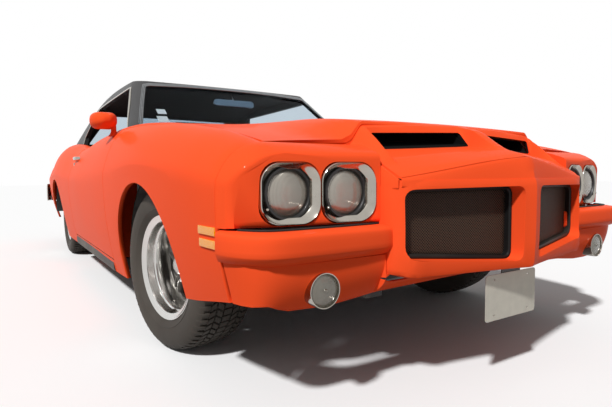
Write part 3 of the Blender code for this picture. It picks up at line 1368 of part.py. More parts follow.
def window_mesh(k, count):
    """A pierced window between two spokes, right through the spider."""
    middle = 2 * pi * k / count
    outline = []
    for r, spread in ((0.088, 0.20), (0.088, -0.20), (0.148, -0.42), (0.152, 0.0), (0.148, 0.42)):
        outline.append((r * cos(middle + spread), r * sin(middle + spread)))
    return prism_mesh("window", outline, 0, -0.05, 0.05)


def build_wheel(label, parent, side):
    """Tyre and rim whose outer face points along +X before the empty's turn."""
    tyre = part_object("tyre_" + label, tyre_mesh(), (RUBBER, 0.85), parent)
    rim = part_object("rim_" + label, rim_mesh(), (CHROME, 0.3, 1.0), parent)
    spider = cutter_object("spider_" + label, spider_mesh(), parent)
    boolean(rim, spider, "UNION")
    for k in range(SPOKES):
        window = cutter_object("window_%s_%d" % (label, k), window_mesh(k, SPOKES), parent)
        boolean(rim, window)
    return tyre, rim


KNUCKLE_HALF_Y = 0.030
for label, side in sides():
    steer = empty("steer_" + label, (side * STEER_AXIS_X, FRONT_AXLE_Y, AXLE_Z), BODY)
    steer.rotation_euler = (0, 0, STEER_AT_REST)
    upright = box_mesh("upright", (-0.030, -KNUCKLE_HALF_Y, -KNUCKLE_HALF_Z),
                       (0.032, KNUCKLE_HALF_Y, KNUCKLE_HALF_Z))
    stud_high = ARM_OFFSET - ARM_HALF - 2 * FIT
    stud = post_mesh("stud", 0.0, 0.0, -stud_high, stud_high, 0.008)
    knuckle = part_object("knuckle_" + label, upright, (STEEL, 0.6, 0.6), steer)
    backing = disc_mesh("backing", ((0.138, 0.030), (0.138, 0.044)), 20)
    tip = FRONT_HALF_TRACK - STEER_AXIS_X - 0.012 - FIT
    hub = disc_mesh("hub", ((0.055, 0.040), (0.055, tip)), 16)
    for mesh in (backing, hub):
        if side < 0:
            mesh.transform(Matrix.Rotation(pi, 4, "Z"))
    if side < 0:
        upright.transform(Matrix.Rotation(pi, 4, "Z"))
    fuse(knuckle, [backing, hub, stud])
    for added in CUTTERS.objects:
        if added.name.startswith("knuckle_" + label):
            added.location = (0, 0, 0)
    spin = empty("spin_front_" + label, (side * (FRONT_HALF_TRACK - STEER_AXIS_X), 0, 0), steer)
    spin.rotation_euler = (0, 0, 0 if side > 0 else pi)
    build_wheel("front_" + label, spin, side)
    spin = empty("spin_rear_" + label, (side * REAR_HALF_TRACK, REAR_AXLE_Y, AXLE_Z), BODY)
    spin.rotation_euler = (0, 0, 0 if side > 0 else pi)
    build_wheel("rear_" + label, spin, side)
    hub = disc_mesh("rear_hub", ((0.055, REAR_HALF_TRACK - 0.080), (0.055, REAR_HALF_TRACK - 0.012 - FIT)),
                    16)
    if side < 0:
        hub.transform(Matrix.Rotation(pi, 4, "Z"))
    fuse_extra = cutter_object("axle_hub_" + label, hub, BODY)
    fuse_extra.location = axle.location
    boolean(axle, fuse_extra, "UNION")


# Steering wheel on its column
STEERING_RADIUS = 0.190
column = empty("steering_column", STEERING_CENTRE, BODY)
column.rotation_euler = (STEERING_TILT, 0, 0)
bpy.ops.mesh.primitive_torus_add(major_radius=STEERING_RADIUS, minor_radius=0.011, major_segments=24,
                                 minor_segments=6)
torus = bpy.context.object.data
bpy.data.objects.remove(bpy.context.object)
torus.transform(Matrix.Rotation(pi / 2, 4, "X"))
wheel = part_object("steering_wheel", torus, (BLACK, 0.5), column)
arms = box_mesh("arms", (-STEERING_RADIUS, -0.012, -0.016), (STEERING_RADIUS, 0.004, 0.016))
foot = box_mesh("foot", (-0.016, -0.012, -STEERING_RADIUS), (0.016, 0.004, 0.0))
boss = disc_mesh("boss", ((0.026, COLUMN_END), (0.034, -0.02), (0.055, 0.0), (0.050, 0.020)), 16)
boss.transform(Matrix.Rotation(pi / 2, 4, "Z"))
fuse(wheel, [arms, foot, boss])


# Door mirrors, rounded shells on a foot that stands on the door
MIRROR_CENTRE = (0.935, -0.800, 0.975)
MIRROR_SECTIONS = (
    # along the car, width, height
    (-0.085, 0.030, 0.022),
    (-0.066, 0.082, 0.056),
    (-0.025, 0.118, 0.078),
    (0.035, 0.130, 0.086),
)
for label, side in sides():
    hinge = HINGES[label]
    rings = []
    for y, width, height in MIRROR_SECTIONS:
        ring = rounded_square(0.0, 0.0, width, height, min(width, height) * 0.42, 2)
        rings.append([(side * (x + MIRROR_CENTRE[0]), y + MIRROR_CENTRE[1], z + MIRROR_CENTRE[2])
                      for x, z in ring])
    place = Matrix.Translation((-side * DOOR_HINGE_X, -DOOR_HINGE_Y, -DOOR_BOTTOM_Z))
    shell = loft_mesh("mirror", rings)
    shell.transform(place)
    mirror = part_object("door_mirror_" + label, shell, PAINT_LOOK, hinge)
    foot_x = MIRROR_CENTRE[0] - 0.045
    low = reach(DOOR_TREES[side], side * foot_x, MIRROR_CENTRE[1], 1.2, 0.030, -1)
    rings = []
    for z, half_x, half_y in ((low + FIT, 0.030, 0.045), (low + 0.008, 0.026, 0.040),
                              (MIRROR_CENTRE[2] - 0.030, 0.014, 0.022)):
        rings.append([(side * foot_x + dx * half_x, MIRROR_CENTRE[1] + dy * half_y, z)
                      for dx, dy in ((-1, -1), (1, -1), (1, 1), (-1, 1))])
    foot = loft_mesh("mirror_foot", rings)
    foot.transform(place)
    boolean(mirror, cutter_object("mirror_foot_" + label, foot, hinge), "UNION")


# Interior mirror on its stem behind the windscreen's top edge
INNER_MIRROR = (0.0, -0.348, 1.184)
INNER_MIRROR_HALF = 0.150
STEM_TOP_Y = -0.285
outline = rounded_square(0.0, 0.0, 2 * INNER_MIRROR_HALF, 0.046, 0.018, 2)
mirror_mesh = prism_mesh("inner_mirror", outline, 1, -0.012, 0.010)
mirror_mesh.transform(Matrix.Translation(INNER_MIRROR) @ Matrix.Rotation(radians(-8), 4, "X"))
inner_mirror = part_object("interior_mirror", mirror_mesh, (BLACK, 0.5), BODY)
stem_top = max(reach(ROOF_TREE, 0.0, STEM_TOP_Y, 1.20, 0.008), WINDSCREEN_TOP_Z) - FIT
stem = [[(dx * 0.008, y + dy * 0.006, z) for dx, dy in ((-1, -1), (1, -1), (1, 1), (-1, 1))]
        for y, z in ((INNER_MIRROR[1], 1.195), (-0.322, 1.228), (STEM_TOP_Y, stem_top))]
fuse(inner_mirror, [loft_mesh("stem", stem)])
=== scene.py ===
from math import cos, pi, radians, sin

import bmesh
import bpy
from mathutils import Matrix, Vector
from mathutils.bvhtree import BVHTree


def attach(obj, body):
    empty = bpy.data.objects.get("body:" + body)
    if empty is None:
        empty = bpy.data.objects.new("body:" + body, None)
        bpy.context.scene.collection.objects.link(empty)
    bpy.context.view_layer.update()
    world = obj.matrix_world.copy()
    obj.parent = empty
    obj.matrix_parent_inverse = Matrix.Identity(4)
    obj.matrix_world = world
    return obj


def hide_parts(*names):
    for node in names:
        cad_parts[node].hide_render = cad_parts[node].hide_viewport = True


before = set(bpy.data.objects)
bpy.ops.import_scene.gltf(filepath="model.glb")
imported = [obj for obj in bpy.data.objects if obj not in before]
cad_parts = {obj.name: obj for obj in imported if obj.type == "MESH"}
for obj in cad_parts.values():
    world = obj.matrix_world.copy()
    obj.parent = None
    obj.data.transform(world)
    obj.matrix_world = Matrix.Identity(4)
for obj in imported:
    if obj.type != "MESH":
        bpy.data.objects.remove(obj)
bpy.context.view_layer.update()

# Camera. It stands low off the car's right front corner, with a short lens,
# so the nose looms and the tail falls away. Its place was solved from the wheels, lamps and roof.
camera_data = bpy.data.cameras.new("camera")
camera_data.sensor_width = 36.0
camera_data.lens = 28.19
camera = bpy.data.objects.new("camera", camera_data)
bpy.context.scene.collection.objects.link(camera)
camera.matrix_world = Matrix(((0.837605, 0.038423, -0.544924, -1.42359), (-0.546235, 0.046483, -0.836342,
    -3.44246), (-0.006805, 0.99818, 0.059922, 0.68971), (0.0, 0.0, 0.0, 1.0)))
bpy.context.scene.camera = camera
bpy.context.scene.view_settings.view_transform = "Standard"


# Floor and light. A wide pale floor that runs into a white surround, a low sun over the car's
# right shoulder that throws its shadow forward and to its left, and a soft fill from the sky.
def in_scene(name, data):
    made = bpy.data.objects.new(name, data)
    bpy.context.scene.collection.objects.link(made)
    return made


def tree_of(owner):
    owner.use_nodes = True
    return owner.node_tree


def feed(tree, node, inputs):
    """Give each named input of a node a value, or another node's output."""
    for key, value in inputs.items():
        if isinstance(value, bpy.types.NodeSocket):
            tree.links.new(value, node.inputs[key])
        else:
            node.inputs[key].default_value = value


def put(tree, kind, inputs, **settings):
    """Add a node with its settings and inputs, and hand back its outputs."""
    made = tree.nodes.new(kind)
    for key, value in settings.items():
        setattr(made, key, value)
    feed(tree, made, inputs)
    return made.outputs


def object_place(tree):
    return put(tree, "ShaderNodeTexCoord", {})["Object"]


def maths(tree, operation, *values):
    return put(tree, "ShaderNodeMath", dict(enumerate(values)), operation=operation)[0]


def mixed(tree, share, first, second):
    """One colour run into another by a share."""
    return put(tree, "ShaderNodeMix", {0: share, 6: first, 7: second}, data_type="RGBA")[2]


def shade_with(tree, inputs):
    feed(tree, tree.nodes["Principled BSDF"], inputs)


def raised(tree, height, strength, distance):
    """Relief on the surface from a pattern's height."""
    bump = put(tree, "ShaderNodeBump", {"Strength": strength, "Distance": distance, "Height": height})
    shade_with(tree, {"Normal": bump["Normal"]})


def seen_directly(tree):
    """1 for rays from the camera, from mirrors and through glass, 0 for light that falls on things."""
    path = put(tree, "ShaderNodeLightPath", {})
    either = maths(tree, "MAXIMUM", path["Is Camera Ray"], path["Is Glossy Ray"])
    return maths(tree, "MAXIMUM", either, path["Is Transmission Ray"])


world = bpy.data.worlds.new("surround")
bpy.context.scene.world = world
tree = tree_of(world)
sky_fill = put(tree, "ShaderNodeMix", {0: seen_directly(tree), 2: 0.24, 3: 1.0}, data_type="FLOAT")[0]
feed(tree, tree.nodes["Background"], {"Strength": sky_fill, "Color": (1.0, 1.0, 1.0, 1.0)})

floor_mesh = bpy.data.meshes.new("floor")
floor_mesh.from_pydata([(-40, -40, 0), (40, -40, 0), (40, 40, 0), (-40, 40, 0)], [], [(0, 1, 2, 3)])
floor = in_scene("floor", floor_mesh)
floor_look = bpy.data.materials.new("pale_floor")
tree = tree_of(floor_look)
floor_tint = mixed(tree, seen_directly(tree), (0.3, 0.3, 0.3, 1.0), (0.98, 0.98, 0.98, 1.0))
shade_with(tree, {"Base Color": floor_tint, "Roughness": 1.0, "Specular IOR Level": 0.0})
floor_mesh.materials.append(floor_look)

sun_data = bpy.data.lights.new("sun", "SUN")
sun_data.energy = 3.3
sun_data.angle = radians(4.0)
sun = in_scene("sun", sun_data)
sun.rotation_euler = Vector((-0.82, -0.5, 0.98)).to_track_quat("Z", "Y").to_euler()


# Frame, axles and the rest of the underside. Pressed and welded steel, primed black and dusty,
# with bare dull castings at the hubs, zinc-grey exhaust pipes and a blue-painted iron engine.
def finish(name, colour, rough, metal=0.0, vary=0.1, size=24.0, grain=0.0, grain_size=700.0, cells=False,
        coat=0.0, dust=0.0, dust_colour=(0.3, 0.24, 0.18)):
    """A surface whose colour and roughness drift with noise, with an even grain raised on it."""
    made = bpy.data.materials.new(name)
    tree = tree_of(made)
    place = object_place(tree)
    cloud = put(tree, "ShaderNodeTexNoise", {"Scale": size, "Detail": 6.0, "Vector": place})["Fac"]
    shade = mixed(tree, cloud, (*[c * (1.0 - vary) for c in colour], 1.0),
        (*[min(1.0, c * (1.0 + vary)) for c in colour], 1.0))
    if dust:
        patches = put(tree, "ShaderNodeTexNoise", {"Scale": 2.2, "Detail": 8.0, "Vector": place})["Fac"]
        amount = put(tree, "ShaderNodeMapRange", {"From Min": 0.42, "From Max": 0.72, "To Max": dust,
            "Value": patches})["Result"]
        shade = mixed(tree, amount, shade, (*dust_colour, 1.0))
    polish = put(tree, "ShaderNodeMapRange", {"To Min": max(0.02, rough * 0.82),
        "To Max": min(1.0, rough * 1.18), "Value": cloud})["Result"]
    shade_with(tree, {"Base Color": shade, "Roughness": polish, "Metallic": metal, "Coat Weight": coat,
        "Coat Roughness": 0.04})
    if grain:
        kind, height = ("Voronoi", "Distance") if cells else ("Noise", "Fac")
        relief = put(tree, "ShaderNodeTex" + kind, {"Scale": grain_size, "Vector": place})[height]
        raised(tree, relief, grain, 0.0006)
    return made


def dress(node, look):
    """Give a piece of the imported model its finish."""
    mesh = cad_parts[node].data
    mesh.materials.clear()
    mesh.materials.append(look)


primer_black = finish("primer_black", (0.022, 0.021, 0.02), 0.62, grain=0.3, dust=0.35)
bare_casting = finish("bare_casting", (0.17, 0.16, 0.15), 0.48, 0.85, grain=0.5, grain_size=420, dust=0.3)
pipe_steel = finish("pipe_steel", (0.34, 0.33, 0.31), 0.38, 0.9, vary=0.22, dust=0.35)
engine_blue = finish("engine_blue", (0.045, 0.11, 0.19), 0.42, grain=0.35, grain_size=300, dust=0.2)
for name in ("chassis_frame", "inner_fenders", "cowl", "floor_pan", "rear_axle"):
    dress(name, primer_black)
for name in ("knuckle_left", "knuckle_right"):
    dress(name, bare_casting)
for name in ("exhaust", "fuel_tank"):
    dress(name, pipe_steel)
dress("engine", engine_blue)


# Tyres. Bias-ply rubber, brown-black with road dust, on 15 inch rims. The carcass is turned to
# its profile, and one pitch of tread blocks is copied round it, with lugs that wrap the shoulders.
AXLE_HEIGHT = 0.328744
FRONT_AXLE_Y = -1.537
REAR_AXLE_Y = 1.308
KINGPIN_X = 0.7
FRONT_HUB_OUT = 0.0745
REAR_HUB_X = 0.762
STEERED = 9.5
SIDES = (("left", 1), ("right", -1))


def outward(mesh, merge=2e-05, score=None):
    """Merge doubled points and turn the faces outwards, or an open sheet to where its score is above zero."""
    work = bmesh.new()
    work.from_mesh(mesh)
    if merge:
        bmesh.ops.remove_doubles(work, verts=work.verts, dist=merge)
    bmesh.ops.recalc_face_normals(work, faces=work.faces)
    if score and sum(score(face) for face in work.faces) < 0:
        bmesh.ops.reverse_faces(work, faces=work.faces)
    work.to_mesh(mesh)
    work.free()
    return mesh


def mesh_of(points, faces):
    mesh = bpy.data.meshes.new("shape")
    mesh.from_pydata([tuple(p) for p in points], [], faces)
    mesh.validate()
    return mesh


def sheet_grid(rows, closed=False):
    """Rows of points joined into one open sheet of quads."""
    return mesh_of([p for row in rows for p in row], quads(len(rows), len(rows[0]), closed))


def quads(count, wide, closed=False):
    """The faces between rows of points, each row closed on itself or not."""
    faces = []
    for r in range(count - 1):
        for k in range(wide if closed else wide - 1):
            n = (k + 1) % wide
            faces.append((r * wide + k, r * wide + n, (r + 1) * wide + n, (r + 1) * wide + k))
    return faces


def loft(rings, closed=True, capped=True):
    """Rings of points joined in order, each ring closed on itself and the two ends filled."""
    count = len(rings[0])
    faces = quads(len(rings), count, closed)
    if capped:
        faces.append(tuple(reversed(range(count))))
        faces.append(tuple((len(rings) - 1) * count + k for k in range(count)))
    return outward(mesh_of([p for ring in rings for p in ring], faces))


def along_car(outline, ys):
    """An outline seen from the front, (x, z), pushed along the car."""
    return loft([[(x, y, z) for x, z in outline] for y in ys])


def across_car(outline, xs):
    """An outline seen from the side, (y, z), pushed across the car."""
    return loft([[(x, y, z) for y, z in outline] for x in xs])


def turned(profile, segments):
    """A (radius, along) profile turned round the X axis."""
    rings = []
    for k in range(segments):
        angle = 2 * pi * k / segments
        rings.append([(along, radius * cos(angle), radius * sin(angle)) for radius, along in profile])
    rings.append(rings[0])
    return loft(rings, True, False)


def slide(x, y, z):
    return Matrix.Translation((x, y, z))


def spin(degrees, axis):
    return Matrix.Rotation(radians(degrees), 4, axis)


def placed(mesh, place):
    mesh.transform(place)
    return mesh


def joined(meshes):
    """Several meshes as one, each keeping its own materials."""
    made = bpy.data.meshes.new("joined")
    work = bmesh.new()
    for mesh in meshes:
        first = len(made.materials)
        start = len(work.faces)
        for look in mesh.materials:
            made.materials.append(look)
        work.from_mesh(mesh)
        work.faces.ensure_lookup_table()
        for face in work.faces[start:]:
            face.material_index += first
    work.to_mesh(made)
    work.free()
    return made


def piece(name, mesh, look, body, crease=34.0, replaces=()):
    """A finished piece: smooth but for its real edges, with its finish, on its body."""
    if look is not None:
        mesh.materials.clear()
        mesh.materials.append(look)
    mesh.shade_smooth()
    mesh.set_sharp_from_angle(angle=radians(crease))
    made = bpy.data.objects.new(name, mesh)
    bpy.context.scene.collection.objects.link(made)
    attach(made, body)
    if replaces:
        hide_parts(*replaces)
    return made


def evaluated(holder, tools=()):
    """An object's mesh with its modifiers applied; the object and its tools are taken away."""
    graph = bpy.context.evaluated_depsgraph_get()
    made = bpy.data.meshes.new_from_object(holder.evaluated_get(graph))
    for used in (*tools, holder):
        bpy.data.objects.remove(used)
    return made


def copies_tree():
    """Node tree that sets copies of a shape at even turns round the X axis."""
    tree = bpy.data.node_groups.new("copies_round_axle", "GeometryNodeTree")
    for name, way, kind in (("Geometry", "INPUT", "Geometry"), ("Count", "INPUT", "Int"),
            ("Finish", "INPUT", "Material"), ("Geometry", "OUTPUT", "Geometry")):
        tree.interface.new_socket(name, in_out=way, socket_type="NodeSocket" + kind)
    given = put(tree, "NodeGroupInput", {})
    points = put(tree, "GeometryNodePoints", {"Count": given["Count"]})[0]
    index = put(tree, "GeometryNodeInputIndex", {})[0]
    angle = maths(tree, "MULTIPLY", maths(tree, "DIVIDE", index, given["Count"]), 2 * pi)
    turn = put(tree, "ShaderNodeCombineXYZ", {"X": angle})[0]
    place = put(tree, "GeometryNodeInstanceOnPoints", {"Points": points, "Instance": given["Geometry"],
        "Rotation": turn})[0]
    real = put(tree, "GeometryNodeRealizeInstances", {0: place})[0]
    coloured = put(tree, "GeometryNodeSetMaterial", {"Geometry": real, "Material": given["Finish"]})[0]
    put(tree, "NodeGroupOutput", {0: coloured})
    return tree


COPIES_ROUND = copies_tree()


def copies_round(mesh, count, look):
    """Copies of a shape at even turns round the X axis, as a plain mesh."""
    holder = in_scene("work", mesh)
    modifier = holder.modifiers.new("nodes", "NODES")
    modifier.node_group = COPIES_ROUND
    values = {"Count": count, "Finish": look}
    for item in COPIES_ROUND.interface.items_tree:
        if item.in_out == "INPUT" and item.name in values:
            modifier[item.identifier] = values[item.name]
    return evaluated(holder)


TREAD_RADIUS = 0.3285
TREAD_HALF = 0.078
TREAD_PITCHES = 66
TYRE_SIDE = ((0.1912, 0.084), (0.1985, 0.0905), (0.2085, 0.0965), (0.216, 0.102), (0.224, 0.1085),
    (0.232, 0.1128), (0.2345, 0.1142), (0.236, 0.1128), (0.25, 0.1158), (0.265, 0.1172), (0.28, 0.1166),
    (0.293, 0.114), (0.303, 0.1096), (0.311, 0.104), (0.316, 0.097))


def tread_radius(across):
    return TREAD_RADIUS - 0.004 * (across / TREAD_HALF) ** 2


rubber = finish("tyre_rubber", (0.033, 0.026, 0.02), 0.78, vary=0.16, size=14, grain=0.35, grain_size=900,
    dust=0.45, dust_colour=(0.105, 0.088, 0.07))
tread_base = [(tread_radius(x) - 0.008, x) for x in (0.09, 0.078, 0.052, 0.026)]
half_profile = list(TYRE_SIDE) + tread_base
carcass_profile = half_profile + [(TREAD_RADIUS - 0.008, 0.0)] + [(r, -x) for r, x in reversed(half_profile)]
carcass = turned(carcass_profile, 96)
pitch = 2 * pi / TREAD_PITCHES
# from and to across the tread, skew of the block, share of the pitch that it fills
TREAD_BLOCKS = ((-0.016, 0.016, 0.1, 0.8), (0.022, 0.047, -0.55, 0.74), (-0.047, -0.022, 0.55, 0.74),
    (0.053, 0.074, 0.45, 0.7), (-0.074, -0.053, -0.45, 0.7))
blocks = []
for low, high, skew, fill in TREAD_BLOCKS:
    rings = []
    for k in range(4):
        across = low + (high - low) * k / 3
        shift = skew * pitch * (k / 3 - 0.5)
        top = tread_radius(across)
        ring = []
        for radius, angle in ((top - 0.01, -0.5), (top - 0.0012, -0.5), (top, -0.44), (top + 0.0001, 0.0),
                (top, 0.44), (top - 0.0012, 0.5), (top - 0.01, 0.5)):
            turn = angle * fill * pitch + shift
            ring.append((across, radius * sin(turn), radius * cos(turn)))
        rings.append(ring)
    blocks.append(loft(rings))
for side in (1, -1):
    rings = []
    for across, radius, fill in ((0.076, 0.3246, 0.6), (0.086, 0.3226, 0.6), (0.0955, 0.3186, 0.58),
            (0.1035, 0.3125, 0.54), (0.1085, 0.306, 0.44), (0.1125, 0.2985, 0.2)):
        ring = []
        for drop, angle in ((0.01, -0.5), (0.001, -0.5), (0.0, -0.4), (0.0, 0.4), (0.001, 0.5), (0.01, 0.5)):
            turn = angle * fill * pitch + 0.18 * pitch * (across - 0.076) / 0.03
            inward = drop * 0.75
            ring.append((side * (across - inward * (across - 0.07) / 0.04), (radius - inward) * sin(turn),
                (radius - inward) * cos(turn)))
        rings.append(ring)
    blocks.append(loft(rings))
tread = copies_round(joined(blocks), TREAD_PITCHES, rubber)
carcass.materials.append(rubber)
WHEELS = {}
for label, side in SIDES:
    turn = spin(0 if side > 0 else 180, "Z")
    WHEELS["front_" + label] = (slide(side * KINGPIN_X, FRONT_AXLE_Y, AXLE_HEIGHT) @ spin(STEERED, "Z")
        @ slide(side * FRONT_HUB_OUT, 0, 0) @ turn)
    WHEELS["rear_" + label] = slide(side * REAR_HUB_X, REAR_AXLE_Y, AXLE_HEIGHT) @ turn
for corner, place in WHEELS.items():
    mesh = placed(joined([carcass, tread]), place)
    piece("tyre_rubber_" + corner, mesh, rubber, "wheel_" + corner, 30, ("tyre_" + corner,))


# Rims. Steel wheels with a polished deep outer rim, and a cast centre of five twin-ribbed spokes
# in dark argent, held by five nuts, with a barrel-shaped hub cap in the middle.
rim_polish = finish("polished_rim", (0.66, 0.65, 0.63), 0.17, 1.0, vary=0.12, size=9, grain=0.1,
    grain_size=240, dust=0.18)
argent = finish("dark_argent", (0.115, 0.108, 0.098), 0.42, 0.75, vary=0.25, size=18, grain=0.35,
    grain_size=360, dust=0.35, dust_colour=(0.1, 0.08, 0.06))
cap_metal = finish("cap_metal", (0.5, 0.49, 0.47), 0.26, 1.0, vary=0.2, size=22, dust=0.2)
RIM_PROFILE = ((0.1895, -0.09), (0.1895, 0.084), (0.194, 0.0895), (0.204, 0.0935), (0.2072, 0.096),
    (0.208, 0.0985), (0.2066, 0.1), (0.2035, 0.099), (0.199, 0.095), (0.1925, 0.0925), (0.1865, 0.0915),
    (0.183, 0.089), (0.1812, 0.082), (0.1802, 0.062), (0.179, 0.0585), (0.174, 0.056), (0.1715, 0.052),
    (0.17, 0.02), (0.1688, 0.008), (0.1682, -0.02), (0.1682, -0.09))
rim_mesh = turned(RIM_PROFILE, 128)
rim_mesh.materials.append(rim_polish)
SPOKE_COUNT = 5
# radius, half angle of the spoke, height of the plate, height of the ribs
SPOKE_ROWS = ((0.034, 0.628, 0.02, 0.0), (0.05, 0.628, 0.02, 0.002), (0.066, 0.628, 0.016, 0.006),
    (0.078, 0.33, 0.012, 0.009), (0.09, 0.235, 0.009, 0.011), (0.11, 0.185, 0.005, 0.012),
    (0.13, 0.165, 0.001, 0.011), (0.146, 0.17, -0.003, 0.009), (0.154, 0.26, -0.005, 0.006),
    (0.16, 0.628, -0.006, 0.002), (0.1685, 0.628, -0.006, 0.0))
RIB_SHARES = (-1.0, -0.92, -0.78, -0.62, -0.46, -0.34, -0.2, 0.0, 0.2, 0.34, 0.46, 0.62, 0.78, 0.92, 1.0)
RIB_HEIGHTS = (0.0, 0.35, 0.92, 1.0, 0.92, 0.3, -0.25, -0.4, -0.25, 0.3, 0.92, 1.0, 0.92, 0.35, 0.0)
points = []
for radius, half_angle, plate, rib in SPOKE_ROWS:
    for share, height in zip(RIB_SHARES, RIB_HEIGHTS):
        angle = share * half_angle
        points.append((plate + rib * height, radius * sin(angle), radius * cos(angle)))
spoke = mesh_of(points, quads(len(SPOKE_ROWS), len(RIB_SHARES)))
spokes = outward(copies_round(spoke, SPOKE_COUNT, argent), 0.0006, lambda face: face.normal.x)
work = bmesh.new()
work.from_mesh(spokes)
walls = bmesh.ops.extrude_face_region(work, geom=list(work.faces))
for corner_point in [v for v in walls["geom"] if isinstance(v, bmesh.types.BMVert)]:
    corner_point.co.x -= 0.012
bmesh.ops.recalc_face_normals(work, faces=work.faces)
work.to_mesh(spokes)
work.free()
cap = turned(((0.0001, 0.0535), (0.01, 0.053), (0.022, 0.0505), (0.03, 0.0455), (0.0335, 0.042),
    (0.0352, 0.0405), (0.0352, 0.034), (0.0362, 0.033), (0.0362, 0.018), (0.0001, 0.018)), 40)
cap.materials.append(cap_metal)
nut = loft([[(along, 0.0602 + r * sin(a * pi / 3), r * cos(a * pi / 3)) for a in range(6)] for along,
    r in ((0.01, 0.0105), (0.0255, 0.0105), (0.028, 0.0085), (0.0285, 0.003))])
nut.transform(spin(90 + 180 / SPOKE_COUNT, "X"))
nuts = copies_round(nut, SPOKE_COUNT, cap_metal)
valve = turned(((0.0035, 0.05), (0.0035, 0.072), (0.0045, 0.073), (0.0045, 0.082), (0.0001, 0.083)), 10)
valve.transform(slide(0, 0.0, -0.1765))
valve.materials.append(rubber)
for corner, place in WHEELS.items():
    parts = {"polished_rim_": (rim_mesh, rim_polish), "spoked_centre_": (spokes, argent),
        "hub_cap_": (joined([cap, nuts]), cap_metal), "valve_": (valve, rubber)}
    for title, (mesh, look) in parts.items():
        copy = mesh.copy()
        copy.transform(place)
        made = piece(title + corner, copy, look, "wheel_" + corner, 30)
        if title == "polished_rim_":
            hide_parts("rim_" + corner)


# Body sides. Pressed steel fenders, doors, sills and quarter panels in orange-red enamel, one
# crease running the whole length, with hemmed edges at the shut lines and rolled wheel arches.
# The enamel's base colour has its blue raised a little above its own orange-red: painted sheen, in place of
# part of the gloss's white reflection.
body_paint = finish("orange_red_enamel", (0.95, 0.092, 0.022), 0.36, vary=0.05, size=1.6, coat=0.08)
tree = body_paint.node_tree
ripple = put(tree, "ShaderNodeTexNoise", {"Scale": 260.0, "Vector": object_place(tree)})["Fac"]
raised(tree, ripple, 0.035, 0.0004)
shade_with(tree, {"Specular IOR Level": 0.05, "Coat IOR": 1.25, "IOR": 1.12})
SECTION_STEPS = 12
SHUT_GAP = 0.005
DOOR_FRONT_Y = -0.905
DOOR_REAR_Y = 0.4
FENDER_FRONT_Y = -2.262
DOOR_BOTTOM_Z = 0.272
PILLAR_END_Y = 1.58
TAIL_Y = 2.488
LID_HALF = 0.65
ARCH = (0.405, 0.352, 0.312)
# along the car; half width and height of the top edge, shoulder, crease, belly and bottom edge
SIDE_TABLE = ((-2.37, 0.8, 0.742, 0.895, 0.738, 0.918, 0.66, 0.935, 0.54, 0.9, 0.36),
    (-2.25, 0.803, 0.785, 0.9, 0.78, 0.94, 0.676, 0.95, 0.52, 0.905, 0.345),
    (-2.0, 0.808, 0.84, 0.905, 0.838, 0.96, 0.706, 0.962, 0.5, 0.912, 0.3),
    (-1.5, 0.815, 0.905, 0.92, 0.903, 0.973, 0.736, 0.975, 0.48, 0.918, 0.235),
    (-0.9, 0.805, 0.945, 0.915, 0.94, 0.97, 0.706, 0.976, 0.47, 0.915, 0.205),
    (-0.2, 0.793, 0.938, 0.905, 0.93, 0.968, 0.682, 0.974, 0.46, 0.912, 0.2),
    (0.4, 0.793, 0.905, 0.905, 0.9, 0.969, 0.68, 0.974, 0.46, 0.912, 0.2), (0.9, 0.77, 0.95, 0.91, 0.945,
    0.972, 0.7, 0.975, 0.47, 0.915, 0.205), (1.3, 0.77, 0.972, 0.915, 0.962, 0.973, 0.706, 0.974, 0.48,
    0.915, 0.24), (1.8, 0.6553, 0.942, 0.895, 0.93, 0.961, 0.68, 0.958, 0.48, 0.9, 0.31),
    (2.25, 0.6553, 0.882, 0.86, 0.872, 0.928, 0.655, 0.925, 0.5, 0.87, 0.345),
    (2.5, 0.6553, 0.838, 0.83, 0.828, 0.892, 0.645, 0.89, 0.51, 0.84, 0.37))


def row_at(table, y):
    """A row of the table at y, by a cubic through the rows around it."""
    k = 0
    while k < len(table) - 2 and y > table[k + 1][0]:
        k += 1
    before, here, there, after = (table[max(k - 1, 0)], table[k], table[k + 1],
        table[min(k + 2, len(table) - 1)])
    span = there[0] - here[0]
    t = (y - here[0]) / span
    values = [y]
    for c in range(1, len(here)):
        slope_a = (there[c] - before[c]) / (there[0] - before[0])
        slope_b = (after[c] - here[c]) / (after[0] - here[0])
        values.append((2 * t ** 3 - 3 * t ** 2 + 1) * here[c] + (t ** 3 - 2 * t ** 2 + t) * span * slope_a
            + (-2 * t ** 3 + 3 * t ** 2) * there[c] + (t ** 3 - t ** 2) * span * slope_b)
    return values


def curve_at(a, b, c, t):
    return tuple((1 - t) ** 2 * a[n] + 2 * t * (1 - t) * b[n] + t * t * c[n] for n in (0, 1))


def share_at(curve, z):
    """Share of the way along a curve where it comes down to the height z."""
    low, high = 0.0, 1.0
    for step in range(30):
        middle = (low + high) / 2
        if curve_at(*curve, middle)[1] > z:
            low = middle
        else:
            high = middle
    return middle


def side_section(y, low_z=None, high_z=None):
    """The body side at y from its top edge to its bottom, or to low_z, as (x, z)."""
    y, xt, zt, xs, zs, xc, zc, xl, zl, xb, zb = row_at(SIDE_TABLE, y)
    if DOOR_REAR_Y < y < PILLAR_END_Y:
        xt = max(xt, 0.7763)
    if y >= PILLAR_END_Y:
        xt = LID_HALF + SHUT_GAP
    lower = ((xc, zc), (xl, zl), (xb, zb))
    end = share_at(lower, low_z) if low_z is not None and low_z > zb else 1.0
    section = []
    start = 0.0
    if high_z is None:
        section = [curve_at((xt, zt), (xs, zs), (xc, zc), k / SECTION_STEPS) for k in range(SECTION_STEPS)]
    else:
        start = share_at(lower, high_z)
    return section + [curve_at(*lower, start + (end - start) * k / SECTION_STEPS)
        for k in range(SECTION_STEPS + 1)]


def skin_at(y, z):
    """How far out the body side stands at y and about the height z."""
    return min(side_section(y), key=lambda p: abs(p[1] - z))[0]


